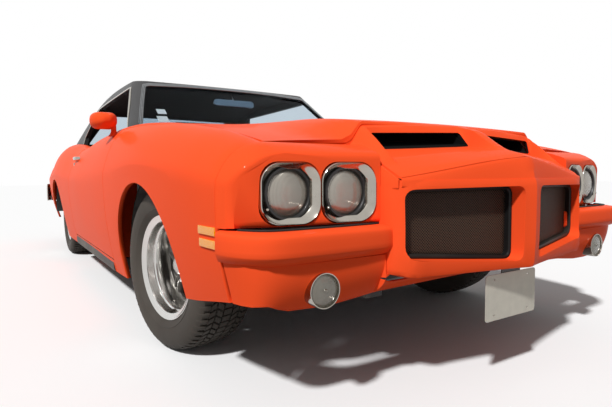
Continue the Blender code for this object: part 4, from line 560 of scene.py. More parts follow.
def arch_low(axle_y, y):
    """Height of the wheel arch's edge over the axle at y, or None outside it."""
    share = (y - axle_y) / ARCH[0]
    if abs(share) > 1.0001:
        return None
    return ARCH[2] + ARCH[1] * max(0.0, 1 - share * share) ** 0.5


def stations(low, high, step, axle_y=None):
    count = max(1, round((high - low) / step))
    made = [low + (high - low) * k / count for k in range(count + 1)]
    if axle_y is not None:
        made = [y for y in made if abs(y - axle_y) > ARCH[0] + 0.004]
        made += [axle_y + ARCH[0] * cos(pi * k / 32) for k in range(33)]
        made += [axle_y - ARCH[0] - 0.0006, axle_y + ARCH[0] + 0.0006]
    return sorted(y for y in made if low - 0.0001 <= y <= high + 0.0001)


def side_skin(side, ys, low=None, axle_y=None, high=None, hem=0.012):
    """One pressed panel of the body side, with its four edges turned inwards."""
    rows = []
    for y in ys:
        low_z = low
        if axle_y is not None and arch_low(axle_y, y) is not None:
            low_z = arch_low(axle_y, y)
        section = side_section(y, low_z, high)
        top = section[0]
        base = section[-1]
        section = ([(top[0] - hem, top[1] - 0.004), (top[0] - 0.0015, top[1] - 0.0008)] + section
            + [(base[0] - 0.002, base[1] - 0.001), (base[0] - hem - 0.006, base[1] + 0.0005)])
        rows.append([(x, y, z) for x, z in section])
    for end, inner in ((0, 0.0012), (-1, -0.0012)):
        edge = [(x - hem, y, z) for x, y, z in rows[end]]
        soft = [(x - 0.0015, y, z) for x, y, z in rows[end]]
        rows[end] = [(x, y + inner, z) for x, y, z in rows[end]]
        if end == 0:
            rows = [edge, soft] + rows
        else:
            rows = rows + [soft, edge]
    mesh = sheet_grid([[(side * x, y, z) for x, y, z in row] for row in rows])
    return outward(mesh, 0, lambda face: face.normal.x * side)


def sheet_metal(made, thickness=0.0016):
    solid = made.modifiers.new("sheet", "SOLIDIFY")
    solid.thickness = thickness
    solid.offset = -1.0
    return made


for label, side in SIDES:
    ys = stations(FENDER_FRONT_Y, DOOR_FRONT_Y - SHUT_GAP, 0.045, FRONT_AXLE_Y)
    mesh = side_skin(side, ys, axle_y=FRONT_AXLE_Y)
    sheet_metal(piece("fender_skin_" + label, mesh, body_paint, "body", 40,
        ("front_fender_" + label,)))
    mesh = side_skin(side, stations(DOOR_FRONT_Y, DOOR_REAR_Y, 0.045), low=DOOR_BOTTOM_Z)
    sheet_metal(piece("door_skin_" + label, mesh, body_paint, "door_" + label, 40,
        ("door_" + label,)))
    mesh = side_skin(side, stations(DOOR_FRONT_Y, DOOR_REAR_Y, 0.09), high=DOOR_BOTTOM_Z - SHUT_GAP)
    sheet_metal(piece("sill_skin_" + label, mesh, body_paint, "body", 40))
    ys = stations(DOOR_REAR_Y + SHUT_GAP, PILLAR_END_Y - 0.001, 0.045, REAR_AXLE_Y)
    ys += stations(PILLAR_END_Y + 0.004, TAIL_Y, 0.045, REAR_AXLE_Y)
    mesh = side_skin(side, ys, axle_y=REAR_AXLE_Y)
    sheet_metal(piece("quarter_skin_" + label, mesh, body_paint, "body", 40,
        ("quarter_panel_" + label,)))


# Lamp panels, nose and front bumper. Resilient moulded front end and steel lamp panels, painted
# with the body: a deep nose with a prow and two grille openings, and bars that wrap to the sides.
def carved(mesh, cutters, way="DIFFERENCE"):
    """The mesh with the cutters taken out of it, or added to it."""
    holder = in_scene("work", mesh)
    tools = [in_scene("cutter", cutter) for cutter in cutters]
    for tool in tools:
        modifier = holder.modifiers.new("cut", "BOOLEAN")
        modifier.operation = way
        modifier.solver = "EXACT"
        modifier.object = tool
    return evaluated(holder, tools)


def rounded_square(centre_x, centre_z, width, height, corner, steps=6):
    outline = []
    for quarter, (sx, sz) in enumerate(((1, 1), (-1, 1), (-1, -1), (1, -1))):
        for k in range(steps + 1):
            angle = pi / 2 * (quarter + k / steps)
            outline.append((centre_x + sx * (width / 2 - corner) + corner * cos(angle),
                centre_z + sz * (height / 2 - corner) + corner * sin(angle)))
    return outline


def softened(made, width, segments=3, limit=32.0):
    bevel = made.modifiers.new("soft_edges", "BEVEL")
    bevel.width = width
    bevel.segments = segments
    bevel.limit_method = "ANGLE"
    bevel.angle_limit = radians(limit)
    bevel.harden_normals = False
    return made


NOSE_HALF = 0.491
LAMP_X = (0.592, 0.764)
LAMP_Z = 0.64
BEZEL_SIZE = (0.172, 0.17)


def lamp_face_y(x):
    return -2.385 + (x - 0.605) * 0.17 + max(0.0, x - 0.86) ** 2 * 6.0


front_section = side_section(FENDER_FRONT_Y, 0.551)
for label, side in SIDES:
    rings = []
    for depth, inset in ((0.0, 0.016), (0.006, 0.01), (0.02, 0.0055), (0.045, 0.0025), (0.09, 0.0005),
            (0.14, 0.0), (0.4, 0.0), (0.7, 0.0), (1.0, 0.0)):
        drop = 0.035 * (1 - depth) ** 1.6
        outline = [(NOSE_HALF + 0.0004, front_section[0][1] - drop - inset),
            (0.56, front_section[0][1] - drop - inset), (0.65, front_section[0][1] - drop - inset)]
        for k, (x, z) in enumerate(front_section):
            fade = 1.0 if k < 7 else max(0.25, 1.0 - (k - 6) * 0.12)
            outline.append((x - 0.012 * (1 - depth) - inset, z - drop * fade))
        outline[-1] = (outline[-1][0], 0.551 + inset)
        outline += [(0.78, 0.551 + inset), (0.62, 0.551 + inset), (NOSE_HALF + 0.0004, 0.551 + inset)]
        back = FENDER_FRONT_Y - SHUT_GAP
        rings.append([(side * x, lamp_face_y(x) + (back - lamp_face_y(x)) * depth, z) for x, z in outline])
    panel = loft(rings)
    holes = [along_car(rounded_square(side * x, LAMP_Z, BEZEL_SIZE[0] - 0.001, BEZEL_SIZE[1], 0.05),
        (-2.6, -2.2)) for x in LAMP_X]
    piece("lamp_panel_skin_" + label, carved(panel, holes), body_paint, "body", 38,
        ("lamp_panel_" + label,))


PROW_Y = -2.582
NOSE_BACK_Y = -2.2353
# height; set back of the prow; front where it turns; outer front; outer half width
NOSE_LEVELS = ((0.404, 0.02, -2.478, -2.4, 0.49), (0.408, 0.01, -2.486, -2.407, 0.4907),
    (0.422, 0.004, -2.492, -2.412, 0.491), (0.48, 0.001, -2.492, -2.412, 0.491),
    (0.54, 0.0, -2.492, -2.412, 0.491), (0.6, 0.0, -2.49, -2.41, 0.491), (0.65, 0.0, -2.488, -2.408, 0.491),
    (0.662, 0.002, -2.485, -2.406, 0.489), (0.672, 0.006, -2.48, -2.402, 0.486))


def nose_front_y(x):
    return PROW_Y + 0.092 * min(abs(x) / 0.44, 1.0) ** 0.85


rings = []
for z, back, turn_y, outer_y, outer_x in NOSE_LEVELS:
    half = [(0.0, PROW_Y + back)]
    for k in range(1, 15):
        x = 0.028 * k
        half.append((x, nose_front_y(x) + back))
    half += [(0.43, turn_y - 0.001), (0.455, turn_y + 0.01), (0.475, turn_y + 0.028),
        (outer_x - 0.004, outer_y - 0.03), (outer_x, outer_y), (outer_x, NOSE_BACK_Y)]
    ring = half + [(-x, y) for x, y in reversed(half[1:])]
    rings.append([(x, y, z) for x, y in ring])
# each opening from the prow outwards, its lower and upper edges
GRILLE_CORNERS = ((0.04, 0.43), (0.462, 0.456), (0.462, 0.646), (0.04, 0.651))


def grille_outline(side, grow, corner=0.03):
    (x0, z0), (x1, z1), (x2, z2), (x3, z3) = GRILLE_CORNERS
    corners = [(x0 - grow, z0 - grow), (x1 + grow, z1 - grow), (x2 + grow, z2 + grow), (x3 - grow, z3 + grow)]
    outline = []
    for k, (x, z) in enumerate(corners):
        before = Vector(corners[k - 1]) - Vector((x, z))
        after = Vector(corners[(k + 1) % 4]) - Vector((x, z))
        size = max(0.008, corner + grow)
        start = Vector((x, z)) + before.normalized() * size
        end = Vector((x, z)) + after.normalized() * size
        for step in range(6):
            outline.append(curve_at(start, (x, z), end, step / 5))
    return [(side * x, z) for x, z in outline]


nose = carved(loft(rings), [along_car(grille_outline(side, 0.0), (-2.7, -2.2)) for label, side in SIDES])
brow_rings = []
for k in range(33):
    x = 0.47 * (k / 16 - 1)
    share = abs(x) / 0.47
    back_y = -2.543 + 0.081 * share - 0.006
    top_z = 0.708 - 0.028 * share * share - 0.002
    front_y = min(nose_front_y(x) + 0.007 + max(0.0, abs(x) - 0.435) ** 2 * 12.0, back_y - 0.002)
    ring = [(x, back_y, 0.655), (x, front_y, 0.655)]
    for step in range(7):
        t = step / 6
        ring.append((x, front_y + (back_y - front_y) * t, 0.671 + (top_z - 0.671) * (1 - (1 - t) ** 1.7)))
    brow_rings.append(ring)
brows = [loft(brow_rings)]
for label, side in SIDES:
    fins = []
    for y, inner_x, outer_x, top_z in ((-2.462, 0.4715, 0.478, 0.674), (-2.448, 0.4765, 0.4832, 0.686),
            (-2.414, 0.4795, 0.4888, 0.706), (-2.38, 0.4825, 0.4906, 0.725), (-2.335, 0.485, 0.4906, 0.742),
            (-2.29, 0.4865, 0.4906, 0.756), (-2.252, 0.488, 0.4906, 0.78)):
        fins.append([(side * x, y, z) for x, z in ((inner_x, 0.65), (outer_x, 0.65),
            (outer_x, top_z - 0.003), (outer_x - 0.0014, top_z), (inner_x, top_z))])
    brows.append(loft(fins))
nose = carved(nose, brows, "UNION")


def eased(t):
    t = max(0.0, min(1.0, t))
    return t * t * (3 - 2 * t)


def prow_shaped(mesh):
    """The hood's edge and the brow drawn up to a peak at the prow, and the foot down a little."""
    for vertex in mesh.vertices:
        x, y, z = abs(vertex.co.x), vertex.co.y, vertex.co.z
        inside = 1 - eased((x - 0.43) / 0.06)
        rise = 0.036 * max(0.0, 1 - x / 0.47) * min(1.0, max(0.0, (z - 0.671) / 0.033))
        rise *= 1 - eased((y + 2.54) / 0.24)
        drop = 0.014 * eased((0.5 - z) / 0.07)
        vertex.co.z += inside * (rise - drop)
    return mesh


made = piece("nose_shell", prow_shaped(nose), body_paint, "body", 30, ("nose",))
softened(made, 0.009, 4, 40)

# along the bar: x, y of the outer face, depth
BUMPER_PATH = ((0.44, -2.43, 0.06), (0.48, -2.448, 0.06), (0.52, -2.452, 0.06), (0.61, -2.453, 0.06),
    (0.7, -2.452, 0.06), (0.77, -2.45, 0.06), (0.82, -2.446, 0.06), (0.85, -2.439, 0.06),
    (0.875, -2.428, 0.06), (0.898, -2.408, 0.058), (0.915, -2.385, 0.055), (0.929, -2.357, 0.05),
    (0.938, -2.33, 0.045), (0.944, -2.3, 0.036), (0.946, -2.272, 0.024))
BUMPER_FACE = ((0.042, 0.462), (0.024, 0.4632), (0.02, 0.4645), (0.002, 0.483), (0.0002, 0.486), (0.0, 0.5),
    (0.0, 0.518), (0.0006, 0.531), (0.003, 0.5375), (0.008, 0.541), (0.036, 0.546))
# A thin near-black strip closes the gap behind each bumper bar's top: painted shade of the gap, not a part of
# its own.
painted_gap_shade = finish("painted_gap_shade", (0.005, 0.005, 0.005), 0.8, vary=0.3)
GAP_SHADE_FACE = ((0.05, 0.5462), (0.049, 0.5485), (0.05, 0.5508))


def bar_along(path, face, side, low_z, high_z, way=1, full=0.06):
    """A bar whose outer face follows the path, with the face's rounded section."""
    rings = []
    for k, (x, y, depth) in enumerate(path):
        before = path[max(k - 1, 0)]
        after = path[min(k + 1, len(path) - 1)]
        run = Vector((after[0] - before[0], after[1] - before[1])).normalized()
        inward = Vector((-run.y, run.x)) * way
        share = min(1.0, depth / full)
        ring = [(side * (x + inward.x * back * share), y + inward.y * back * share, z) for back, z in face]
        ring += [(side * (x + inward.x * depth), y + inward.y * depth, z) for z in (high_z, low_z)]
        rings.append(ring)
    return loft(rings)


for label, side in SIDES:
    mesh = bar_along(BUMPER_PATH, BUMPER_FACE, side, 0.462, 0.546)
    piece("bumper_bar_" + label, mesh, body_paint, "body", 40)
    # The strip in the gap behind the bar's top, near black as painted shade.
    mesh = bar_along(BUMPER_PATH[1:-2], GAP_SHADE_FACE, side, 0.5462, 0.5508)
    piece("bumper_gap_shade_" + label, mesh, painted_gap_shade, "body", 40)


# Headlamps. Two sealed beams a side with pressed and fluted glass, each held by a black ring and
# three screws in a squarish bright bezel of plated zinc.
bright_trim = finish("bright_trim", (0.42, 0.395, 0.35), 0.13, 1.0, vary=0.22, size=26, dust=0.15)
lamp_black = finish("lamp_black", (0.012, 0.012, 0.012), 0.45, vary=0.3)


def lamp_glass_look(name, flutes, dark=(0.24, 0.215, 0.18), pale=(0.4, 0.365, 0.31)):
    """Clear glass over a bright reflector: pale, glossy, with moulded flutes."""
    made = finish(name, (0.62, 0.62, 0.6), 0.16, 0.55, vary=0.1, size=60, coat=1.0)
    tree = made.node_tree
    ribs = put(tree, "ShaderNodeTexWave", {"Scale": flutes, "Distortion": 0.4,
        "Vector": object_place(tree)}, wave_type="BANDS", bands_direction="X")["Fac"]
    raised(tree, ribs, 0.55, 0.0014)
    shade_with(tree, {"Base Color": mixed(tree, ribs, (*dark, 1.0), (*pale, 1.0))})
    return made


beam_glass = lamp_glass_look("sealed_beam_glass", 88.0)
LAMP_RADIUS = 0.073


def facing_front(mesh, x, y, z):
    """Put a shape turned round X in place so that its open side faces the front."""
    mesh.transform(slide(x, y, z) @ spin(-90, "Z"))
    return mesh


screw_head = turned(((0.0001, 0.003), (0.0028, 0.0026), (0.004, 0.0012), (0.0042, 0.0)), 10)
screw_head.transform(slide(0, 0, 0.08))
screws_round = copies_round(screw_head, 3, bright_trim)
for label, side in SIDES:
    bezels = []
    rings_black = []
    glasses = []
    for x in LAMP_X:
        rings = []
        face_y = lamp_face_y(x)
        width, height = BEZEL_SIZE
        steps = 10
        # radius share from the outer edge in to the round mouth, and depth behind the face
        for share, back in ((0.0, 0.06), (0.0, 0.006), (0.03, 0.0005), (0.08, -0.0035), (0.16, -0.005),
                (0.26, -0.003), (0.5, 0.001), (0.78, 0.006), (0.92, 0.0085), (1.0, 0.0105), (1.0, 0.024)):
            outer = rounded_square(0.0, 0.0, width - 0.002, height - 0.002, 0.056 - 0.012 * share, steps)
            ring = []
            for (ox, oz) in outer:
                angle = Vector((ox, oz)).normalized() * LAMP_RADIUS
                px = ox + (angle.x - ox) * share
                pz = oz + (angle.y - oz) * share
                ring.append((side * (x + px), face_y + px * 0.17 + back, LAMP_Z + pz))
            rings.append(ring)
        bezels.append(loft(rings, True, False))
        bezels.append(facing_front(screws_round.copy(), side * x, face_y + 0.0035, LAMP_Z))
        ring_mesh = turned(((0.0725, -0.01), (0.0725, -0.024), (0.064, -0.03), (0.064, -0.014),
            (0.0665, -0.0105)), 48)
        rings_black.append(facing_front(ring_mesh, side * x, face_y, LAMP_Z))
        bowl = turned(((0.0001, -0.0035), (0.02, -0.0045), (0.04, -0.008), (0.054, -0.013), (0.0645, -0.02),
            (0.0645, -0.034), (0.0001, -0.034)), 48)
        glasses.append(facing_front(bowl, side * x, face_y, LAMP_Z))
    for part in bezels:
        part.materials.clear()
    piece("headlamp_bezels_" + label, joined(bezels), bright_trim, "body", 38,
        ("headlamps_" + label,))
    piece("headlamp_rings_" + label, joined(rings_black), lamp_black, "body", 38)
    piece("headlamp_glass_" + label, joined(glasses), beam_glass, "body", 38)


# Front valance. Painted steel apron under the bumper, rolled under at its foot, with round lamps
# in bright rings near its ends and two dark air slots beside the plate.
VALANCE_PATH = ((0.0, -2.44, 0.352, 0.4037), (0.1, -2.44, 0.351, 0.4037), (0.2, -2.44, 0.35, 0.4037),
    (0.35, -2.437, 0.346, 0.4037), (0.48, -2.432, 0.342, 0.4037), (0.493, -2.432, 0.341, 0.4037),
    (0.496, -2.432, 0.341, 0.4617), (0.56, -2.43, 0.334, 0.4617), (0.62, -2.428, 0.328, 0.4617),
    (0.703, -2.425, 0.326, 0.4617), (0.78, -2.42, 0.328, 0.4617), (0.825, -2.412, 0.34, 0.4617),
    (0.86, -2.4, 0.352, 0.4617), (0.885, -2.38, 0.352, 0.4617), (0.905, -2.355, 0.35, 0.4617),
    (0.918, -2.31, 0.347, 0.4617), (0.925, -2.272, 0.346, 0.4617))
VALANCE_LAMP = (0.703, -2.412, 0.384, 0.048)
rows = []
for x, y, low, top in [(-x, *rest) for x, *rest in reversed(VALANCE_PATH[1:])] + list(VALANCE_PATH):
    row = []
    for k in range(11):
        t = k / 10
        wrap = max(0.0, min(1.0, (abs(x) - 0.78) / 0.14))
        back = 0.055 * t * t * (1 - wrap)
        row.append((x * (1.0 - 0.03 * t * wrap), y + back, top + (low - top) * t))
    row.append((row[-1][0] * 0.995, row[-1][1] + 0.02, row[-1][2] + 0.004))
    rows.append(row)
apron = outward(sheet_grid(rows), score=lambda face: -face.normal.y)
work = bmesh.new()
work.from_mesh(apron)
bmesh.ops.solidify(work, geom=list(work.faces), thickness=0.01)
bmesh.ops.recalc_face_normals(work, faces=work.faces)
work.to_mesh(apron)
work.free()
slots = [along_car([(side * x, z) for x, z in ((0.14, 0.38), (0.47, 0.378), (0.5, 0.39), (0.478, 0.402),
    (0.14, 0.4))], (-2.6, -2.3)) for label, side in SIDES]
holes = [facing_front(turned(((0.0001, 0.08), (0.046, 0.08), (0.046, -0.1), (0.0001, -0.1)), 40),
    side * VALANCE_LAMP[0], VALANCE_LAMP[1], VALANCE_LAMP[2]) for label, side in SIDES]
apron = carved(apron, slots + holes)
piece("front_apron", apron, body_paint, "body", 34, ("front_valance",))
# The valance lamps' glass is darker than the headlamps': partly a smoked lens, partly painted shade from the
# bumper over it.
park_glass = lamp_glass_look("ribbed_lamp_glass", 95.0, (0.09, 0.08, 0.06), (0.22, 0.2, 0.16))
lamp_rings = []
lamp_glasses = []
for label, side in SIDES:
    x, y, z, radius = VALANCE_LAMP
    lamp_rings.append(facing_front(turned(((0.0455, 0.016), (0.0478, 0.016), (0.0482, 0.01),
        (0.0482, -0.04), (0.044, -0.04), (0.044, 0.012)), 40), side * x, y, z))
    lamp_glasses.append(facing_front(turned(((0.0001, 0.0205), (0.004, 0.0205), (0.006, 0.0175),
        (0.02, 0.0165), (0.034, 0.0135), (0.044, 0.008), (0.044, -0.03), (0.0001, -0.03)), 40), side * x, y,
        z))
piece("front_lamp_rings", joined(lamp_rings), bright_trim, "body", 34)
piece("front_lamp_glass", joined(lamp_glasses), park_glass, "body", 34)


# Grilles. Fine black wire cloth stretched over a black pressed frame, set deep in each opening
# of the nose; the weave is modelled as raised wires crossing at a slant.
wire_cloth = bpy.data.materials.new("black_wire_cloth")
tree = tree_of(wire_cloth)
slanted = put(tree, "ShaderNodeMapping", {"Rotation": (0.0, radians(45), 0.0), "Vector": object_place(tree)})
split = put(tree, "ShaderNodeSeparateXYZ", {0: slanted["Vector"]})
waves = [maths(tree, "COSINE", maths(tree, "MULTIPLY", split[axis], 2 * pi / 0.0062)) for axis in ("X", "Z")]
peak = maths(tree, "MAXIMUM", *waves)
wire = put(tree, "ShaderNodeMapRange", {"From Min": 0.35, "From Max": 0.8, "Value": peak})["Result"]
wire_tint = mixed(tree, wire, (0.0012, 0.001, 0.001, 1.0), (0.085, 0.048, 0.03, 1.0))
shade_with(tree, {"Base Color": wire_tint, "Roughness": 0.55})
raised(tree, wire, 0.9, 0.0012)
grille_black = finish("grille_black", (0.008, 0.008, 0.008), 0.42, vary=0.3, dust=0.1)
for look in (grille_black, wire_cloth):
    shade_with(look.node_tree, {"Specular IOR Level": 0.15})
GRILLE_RECESS = 0.045
for label, side in SIDES:
    frame_rings = []
    for grow, push in ((-0.0004, 0.026), (-0.0004, 0.004), (-0.003, 0.0), (-0.007, 0.0), (-0.0105, 0.004),
            (-0.0105, 0.021)):
        ring_outline_points = grille_outline(side, grow)
        frame_rings.append([(x, nose_front_y(x) + GRILLE_RECESS + push, z) for x, z in ring_outline_points])
    frame_mesh = loft(frame_rings, True, False)
    piece("grille_frame_" + label, prow_shaped(frame_mesh), grille_black, "body", 30,
        ("grille_" + label,))
    rows = []
    for k in range(25):
        (inner_x, inner_low), (outer_x, outer_low), (_, outer_high), (_, inner_high) = GRILLE_CORNERS
        x = inner_x + 0.004 + (outer_x - inner_x - 0.008) * k / 24
        share = (x - inner_x) / (outer_x - inner_x)
        low = inner_low + (outer_low - inner_low) * share + 0.002
        high = inner_high + (outer_high - inner_high) * share - 0.002
        bow = 0.004 * sin(pi * k / 24)
        rows.append([(side * x, nose_front_y(x) + GRILLE_RECESS + 0.019 - bow, low + (high - low) * j / 12)
            for j in range(13)])
    cloth = outward(sheet_grid(rows), 0, lambda face: -face.normal.y)
    sheet_metal(piece("grille_cloth_" + label, prow_shaped(cloth), wire_cloth, "body", 30))


# Number plate, blank. Thin weathered aluminium on a steel strap under the nose, with small bolt
# holes, scuffed and dulled by road dirt.
plate_metal = finish("weathered_plate", (0.52, 0.49, 0.42), 0.55, 0.25, vary=0.16, size=30, grain=0.35,
    grain_size=150, dust=0.65, dust_colour=(0.36, 0.31, 0.24))
strap_metal = finish("strap_metal", (0.05, 0.05, 0.05), 0.5, 0.4)
PLATE_HALF = 0.134
plate_outline = rounded_square(0.0, 0.291, 2 * PLATE_HALF, 0.15, 0.01, 4)
plate = along_car(plate_outline, (-2.5, -2.4978))
bolt_places = [(sx * 0.09, 0.291 + sz * 0.058) for sx in (1, -1) for sz in (1, -1)]
bolt_holes = []
for bx, bz in bolt_places:
    hole = turned(((0.0001, 0.01), (0.0032, 0.01), (0.0032, -0.01), (0.0001, -0.01)), 12)
    bolt_holes.append(facing_front(hole, bx, -2.499, bz))
piece("blank_plate", carved(plate, bolt_holes), plate_metal, "body", 30, ("front_plate",))
strap = [(-2.4976, 0.3), (-2.494, 0.3), (-2.494, 0.396), (-2.455, 0.396), (-2.455, 0.4037), (-2.4976, 0.4037)]
mesh = across_car(strap, (-0.05, 0.05))
piece("plate_strap", mesh, strap_metal, "body", 30)


# Inner faces of doors and quarters. Painted steel shells behind the skins, closed at the shut
# lines, with black moulded vinyl cards clipped to them, an armrest and a window crank on each door.
card_vinyl = finish("card_vinyl", (0.02, 0.019, 0.018), 0.5, vary=0.2, size=40, grain=0.45, grain_size=520,
    cells=True)
SHELL_SET_IN = 0.0035
CABIN_WALL_END_Y = 0.885


def inner_shell(side, ys, drop, low=None, axle_y=None):
    """The closed steel box behind a skin, with an upright wall towards the cabin."""
    rings = []
    for y in ys:
        low_z = low
        if axle_y is not None and arch_low(axle_y, y) is not None:
            low_z = arch_low(axle_y, y)
        section = side_section(y, low_z)
        wall_x = section[0][0]
        ring = [(max(x - SHELL_SET_IN, wall_x + 0.0008), z - 0.0035) for x, z in section]
        ring[-1] = (ring[-1][0], section[-1][1] + 0.003)
        low_end = section[-1][1] + 0.003
        top_end = section[0][1] - drop
        ring += [(wall_x, low_end + (top_end - low_end) * k / 8) for k in range(9)]
        rings.append([(side * x, y, z) for x, z in ring])
    return loft(rings)


for label, side in SIDES:
    ys = stations(DOOR_FRONT_Y + 0.0014, DOOR_REAR_Y - 0.0014, 0.09)
    shell = inner_shell(side, ys, 0.012, DOOR_BOTTOM_Z)
    piece("door_shell_" + label, shell, body_paint, "door_" + label, 40)
    ys = stations(DOOR_REAR_Y + SHUT_GAP + 0.0014, CABIN_WALL_END_Y, 0.08)
    shell = inner_shell(side, ys, 0.012)
    piece("quarter_shell_" + label, shell, body_paint, "body", 40)
    striker = turned(((0.0001, 0.0), (0.0095, 0.0), (0.0095, 0.003), (0.006, 0.0045), (0.006, 0.018),
        (0.0085, 0.0195), (0.0085, 0.0225), (0.0001, 0.0225)), 20)
    striker.transform(slide(side * 0.95, DOOR_REAR_Y + SHUT_GAP + 0.0015, 0.62) @ spin(-90, "Z"))
    cards = []
    for low_y, high_y, high_z in ((DOOR_FRONT_Y + 0.045, DOOR_REAR_Y - 0.04, 0.868), (0.43, 0.87, 0.868)):
        for low_z, top_z, proud in ((0.33, 0.47, 0.004), (0.474, 0.69, 0.007), (0.694, high_z, 0.005)):
            rings = []
            for y in stations(low_y, high_y, 0.06):
                wall_x = side_section(y)[0][0] - 0.0002
                flute = 0.0015 if 0.47 < low_z < 0.6 and round((y - low_y) / 0.06) % 2 else 0.0
                out = wall_x - proud - flute
                rings.append([(side * x, y, z) for x, z in ((wall_x, low_z), (out, low_z + 0.003),
                    (out, top_z - 0.003), (wall_x, top_z))])
            cards.append((high_y, loft(rings)))
    door_cards = [card for high_y, card in cards if high_y < 0.4]
    rest_rings = []
    for y, out, low_z, top_z in ((-0.52, 0.01, 0.6, 0.628), (-0.5, 0.04, 0.59, 0.634),
            (-0.4, 0.058, 0.588, 0.64), (-0.1, 0.062, 0.588, 0.646), (0.1, 0.058, 0.59, 0.648),
            (0.17, 0.04, 0.594, 0.642), (0.19, 0.01, 0.604, 0.63)):
        wall_x = side_section(y)[0][0] - 0.004
        rest_rings.append([(side * (wall_x - x), y, z) for x, z in ((0.0, low_z), (out * 0.8, low_z),
            (out, low_z + 0.01), (out, top_z - 0.008), (out * 0.85, top_z), (0.0, top_z))])
    door_cards.append(loft(rest_rings))
    piece("door_card_" + label, joined(door_cards), card_vinyl, "door_" + label, 30)
    quarter_cards = [card for high_y, card in cards if high_y > 0.4]
    piece("quarter_card_" + label, joined(quarter_cards), card_vinyl, "body", 30)
    crank = turned(((0.0001, 0.02), (0.016, 0.018), (0.02, 0.01), (0.02, 0.0), (0.0001, 0.0)), 24)
    lever = loft([[(along, y, z + 0.11 * k) for along, y, z in ((0.012, -0.006, 0), (0.018, -0.006, 0),
        (0.018, 0.006, 0), (0.012, 0.006, 0))] for k in (0, 1)])
    knob = turned(((0.0001, 0.048), (0.009, 0.046), (0.011, 0.036), (0.007, 0.018), (0.0001, 0.018)), 16)
    knob.transform(slide(0, 0, 0.102))
    handle = joined([crank, lever, knob])
    turn = spin(180 if side > 0 else 0, "Z")
    wall_x = side_section(-0.36)[0][0] - 0.0074
    handle.transform(slide(side * wall_x, -0.36, 0.56) @ turn @ spin(150, "X"))
    handle = outward(handle)
    piece("window_crank_" + label, handle, bright_trim, "door_" + label, 34)
    piece("door_striker_" + label, striker, bare_casting, "body", 34)


# Door handles. Cast and chromed pulls, bent out from the skin over two feet, with the round key
# lock in its bright ring below the rear end.
for label, side in SIDES:
    handle_rings = []
    for y, out, half, thick in ((0.156, 0.002, 0.007, 0.004), (0.16, 0.008, 0.0095, 0.009),
            (0.17, 0.0155, 0.0105, 0.015), (0.182, 0.0215, 0.011, 0.01), (0.2, 0.025, 0.0112, 0.0075),
            (0.249, 0.027, 0.0112, 0.007), (0.298, 0.025, 0.0112, 0.0075), (0.316, 0.0215, 0.011, 0.01),
            (0.328, 0.0155, 0.0105, 0.015), (0.338, 0.008, 0.0095, 0.009), (0.342, 0.002, 0.007, 0.004)):
        skin_x = skin_at(y, 0.814)
        ring = []
        for k in range(10):
            angle = 2 * pi * k / 10
            ring.append((side * (skin_x + out - thick / 2 + cos(angle) * thick * 0.55 + 0.001), y,
                0.814 + sin(angle) * half))
        handle_rings.append(ring)
    lock = turned(((0.0001, 0.0045), (0.004, 0.0045), (0.005, 0.0038), (0.01, 0.0046), (0.0125, 0.003),
        (0.013, 0.0), (0.013, -0.004), (0.0001, -0.004)), 28)
    lock_x = skin_at(0.32, 0.772)
    lock.transform(slide(side * (lock_x + 0.001), 0.32, 0.772) @ spin(0 if side > 0 else 180, "Z"))
    mesh = joined([loft(handle_rings), lock])
    piece("door_handle_" + label, mesh, bright_trim, "door_" + label, 40)


# Side markers. Amber moulded lenses with fine upright prisms, two to each fender, on the skin.
def lens_look(name, colour, ribs_scale, axis="Y"):
    made = finish(name, colour, 0.16, vary=0.12, size=90, coat=0.25)
    tree = made.node_tree
    ribs = put(tree, "ShaderNodeTexWave", {"Scale": ribs_scale, "Vector": object_place(tree)},
        bands_direction=axis)
    raised(tree, ribs["Fac"], 0.5, 0.001)
    return made


amber_lens = lens_look("amber_lens", (0.92, 0.33, 0.003), 60.0)
for label, side in SIDES:
    lenses = []
    for z in (0.504, 0.54):
        rings = []
        for y, out in ((-2.257, 0.0005), (-2.256, 0.0028), (-2.24, 0.0036), (-2.206, 0.0036),
                (-2.172, 0.0036), (-2.156, 0.0028), (-2.155, 0.0005)):
            skin_x = skin_at(y, z)
            ring = [(side * (skin_x + 0.0004 + out * share), y, z + height) for height,
                share in ((-0.0118, 0.0), (-0.0112, 0.85), (-0.006, 1.0), (0.006, 1.0), (0.0112, 0.85),
                (0.0118, 0.0))]
            ring += [(side * (skin_x - 0.003), y, z + height) for height in (0.0118, -0.0118)]
            rings.append(ring)
        lenses.append(loft(rings))
    piece("side_markers_" + label, joined(lenses), amber_lens, "body", 34)


# Hood. One pressed panel with a beak that reaches down to the nose, and two low scoops whose
# mouths face forward at the beak's root, their insides near black as painted shade. It is hinged at the cowl.
HOOD_ROWS = ((-2.543, 0.708, 0.68, 0.47, -2.462), (-2.528, 0.716, 0.69, 0.478, -2.448),
    (-2.44, 0.752, 0.728, 0.484, -2.38), (-2.356, 0.779, 0.758, 0.488, -2.29),
    (-2.352, 0.779, 0.76, 0.488, -2.286), (-2.285, 0.8, 0.783, 0.49, -2.252),
    (-2.255, 0.808, 0.784, 0.795, -2.25), (-2.15, 0.83, 0.808, 0.798, -2.15),
    (-1.95, 0.865, 0.847, 0.802, -1.95), (-1.65, 0.903, 0.888, 0.808, -1.65),
    (-1.3, 0.932, 0.921, 0.806, -1.3), (-1.05, 0.948, 0.937, 0.801, -1.05),
    (-0.815, 0.956, 0.944, 0.796, -0.815))
SCOOP_Y = -2.352
SCOOP_RISE = 0.06
SCOOP_FADE_Y = -1.45
SCOOP_SPAN = (0.026, 0.424)
hood_rows = []
for k in range(len(HOOD_ROWS) - 1):
    parts = max(1, round((HOOD_ROWS[k + 1][0] - HOOD_ROWS[k][0]) / (0.012 if k < 6 else 0.05)))
    for step in range(parts):
        t = step / parts
        row = [a + (b - a) * t for a, b in zip(HOOD_ROWS[k], HOOD_ROWS[k + 1])]
        if k >= 6:
            smooth_row = row_at(HOOD_ROWS[6:], row[0])
            row = [row[0], *smooth_row[1:4], row[0]]
        hood_rows.append(row)
hood_rows.append(list(HOOD_ROWS[-1]))


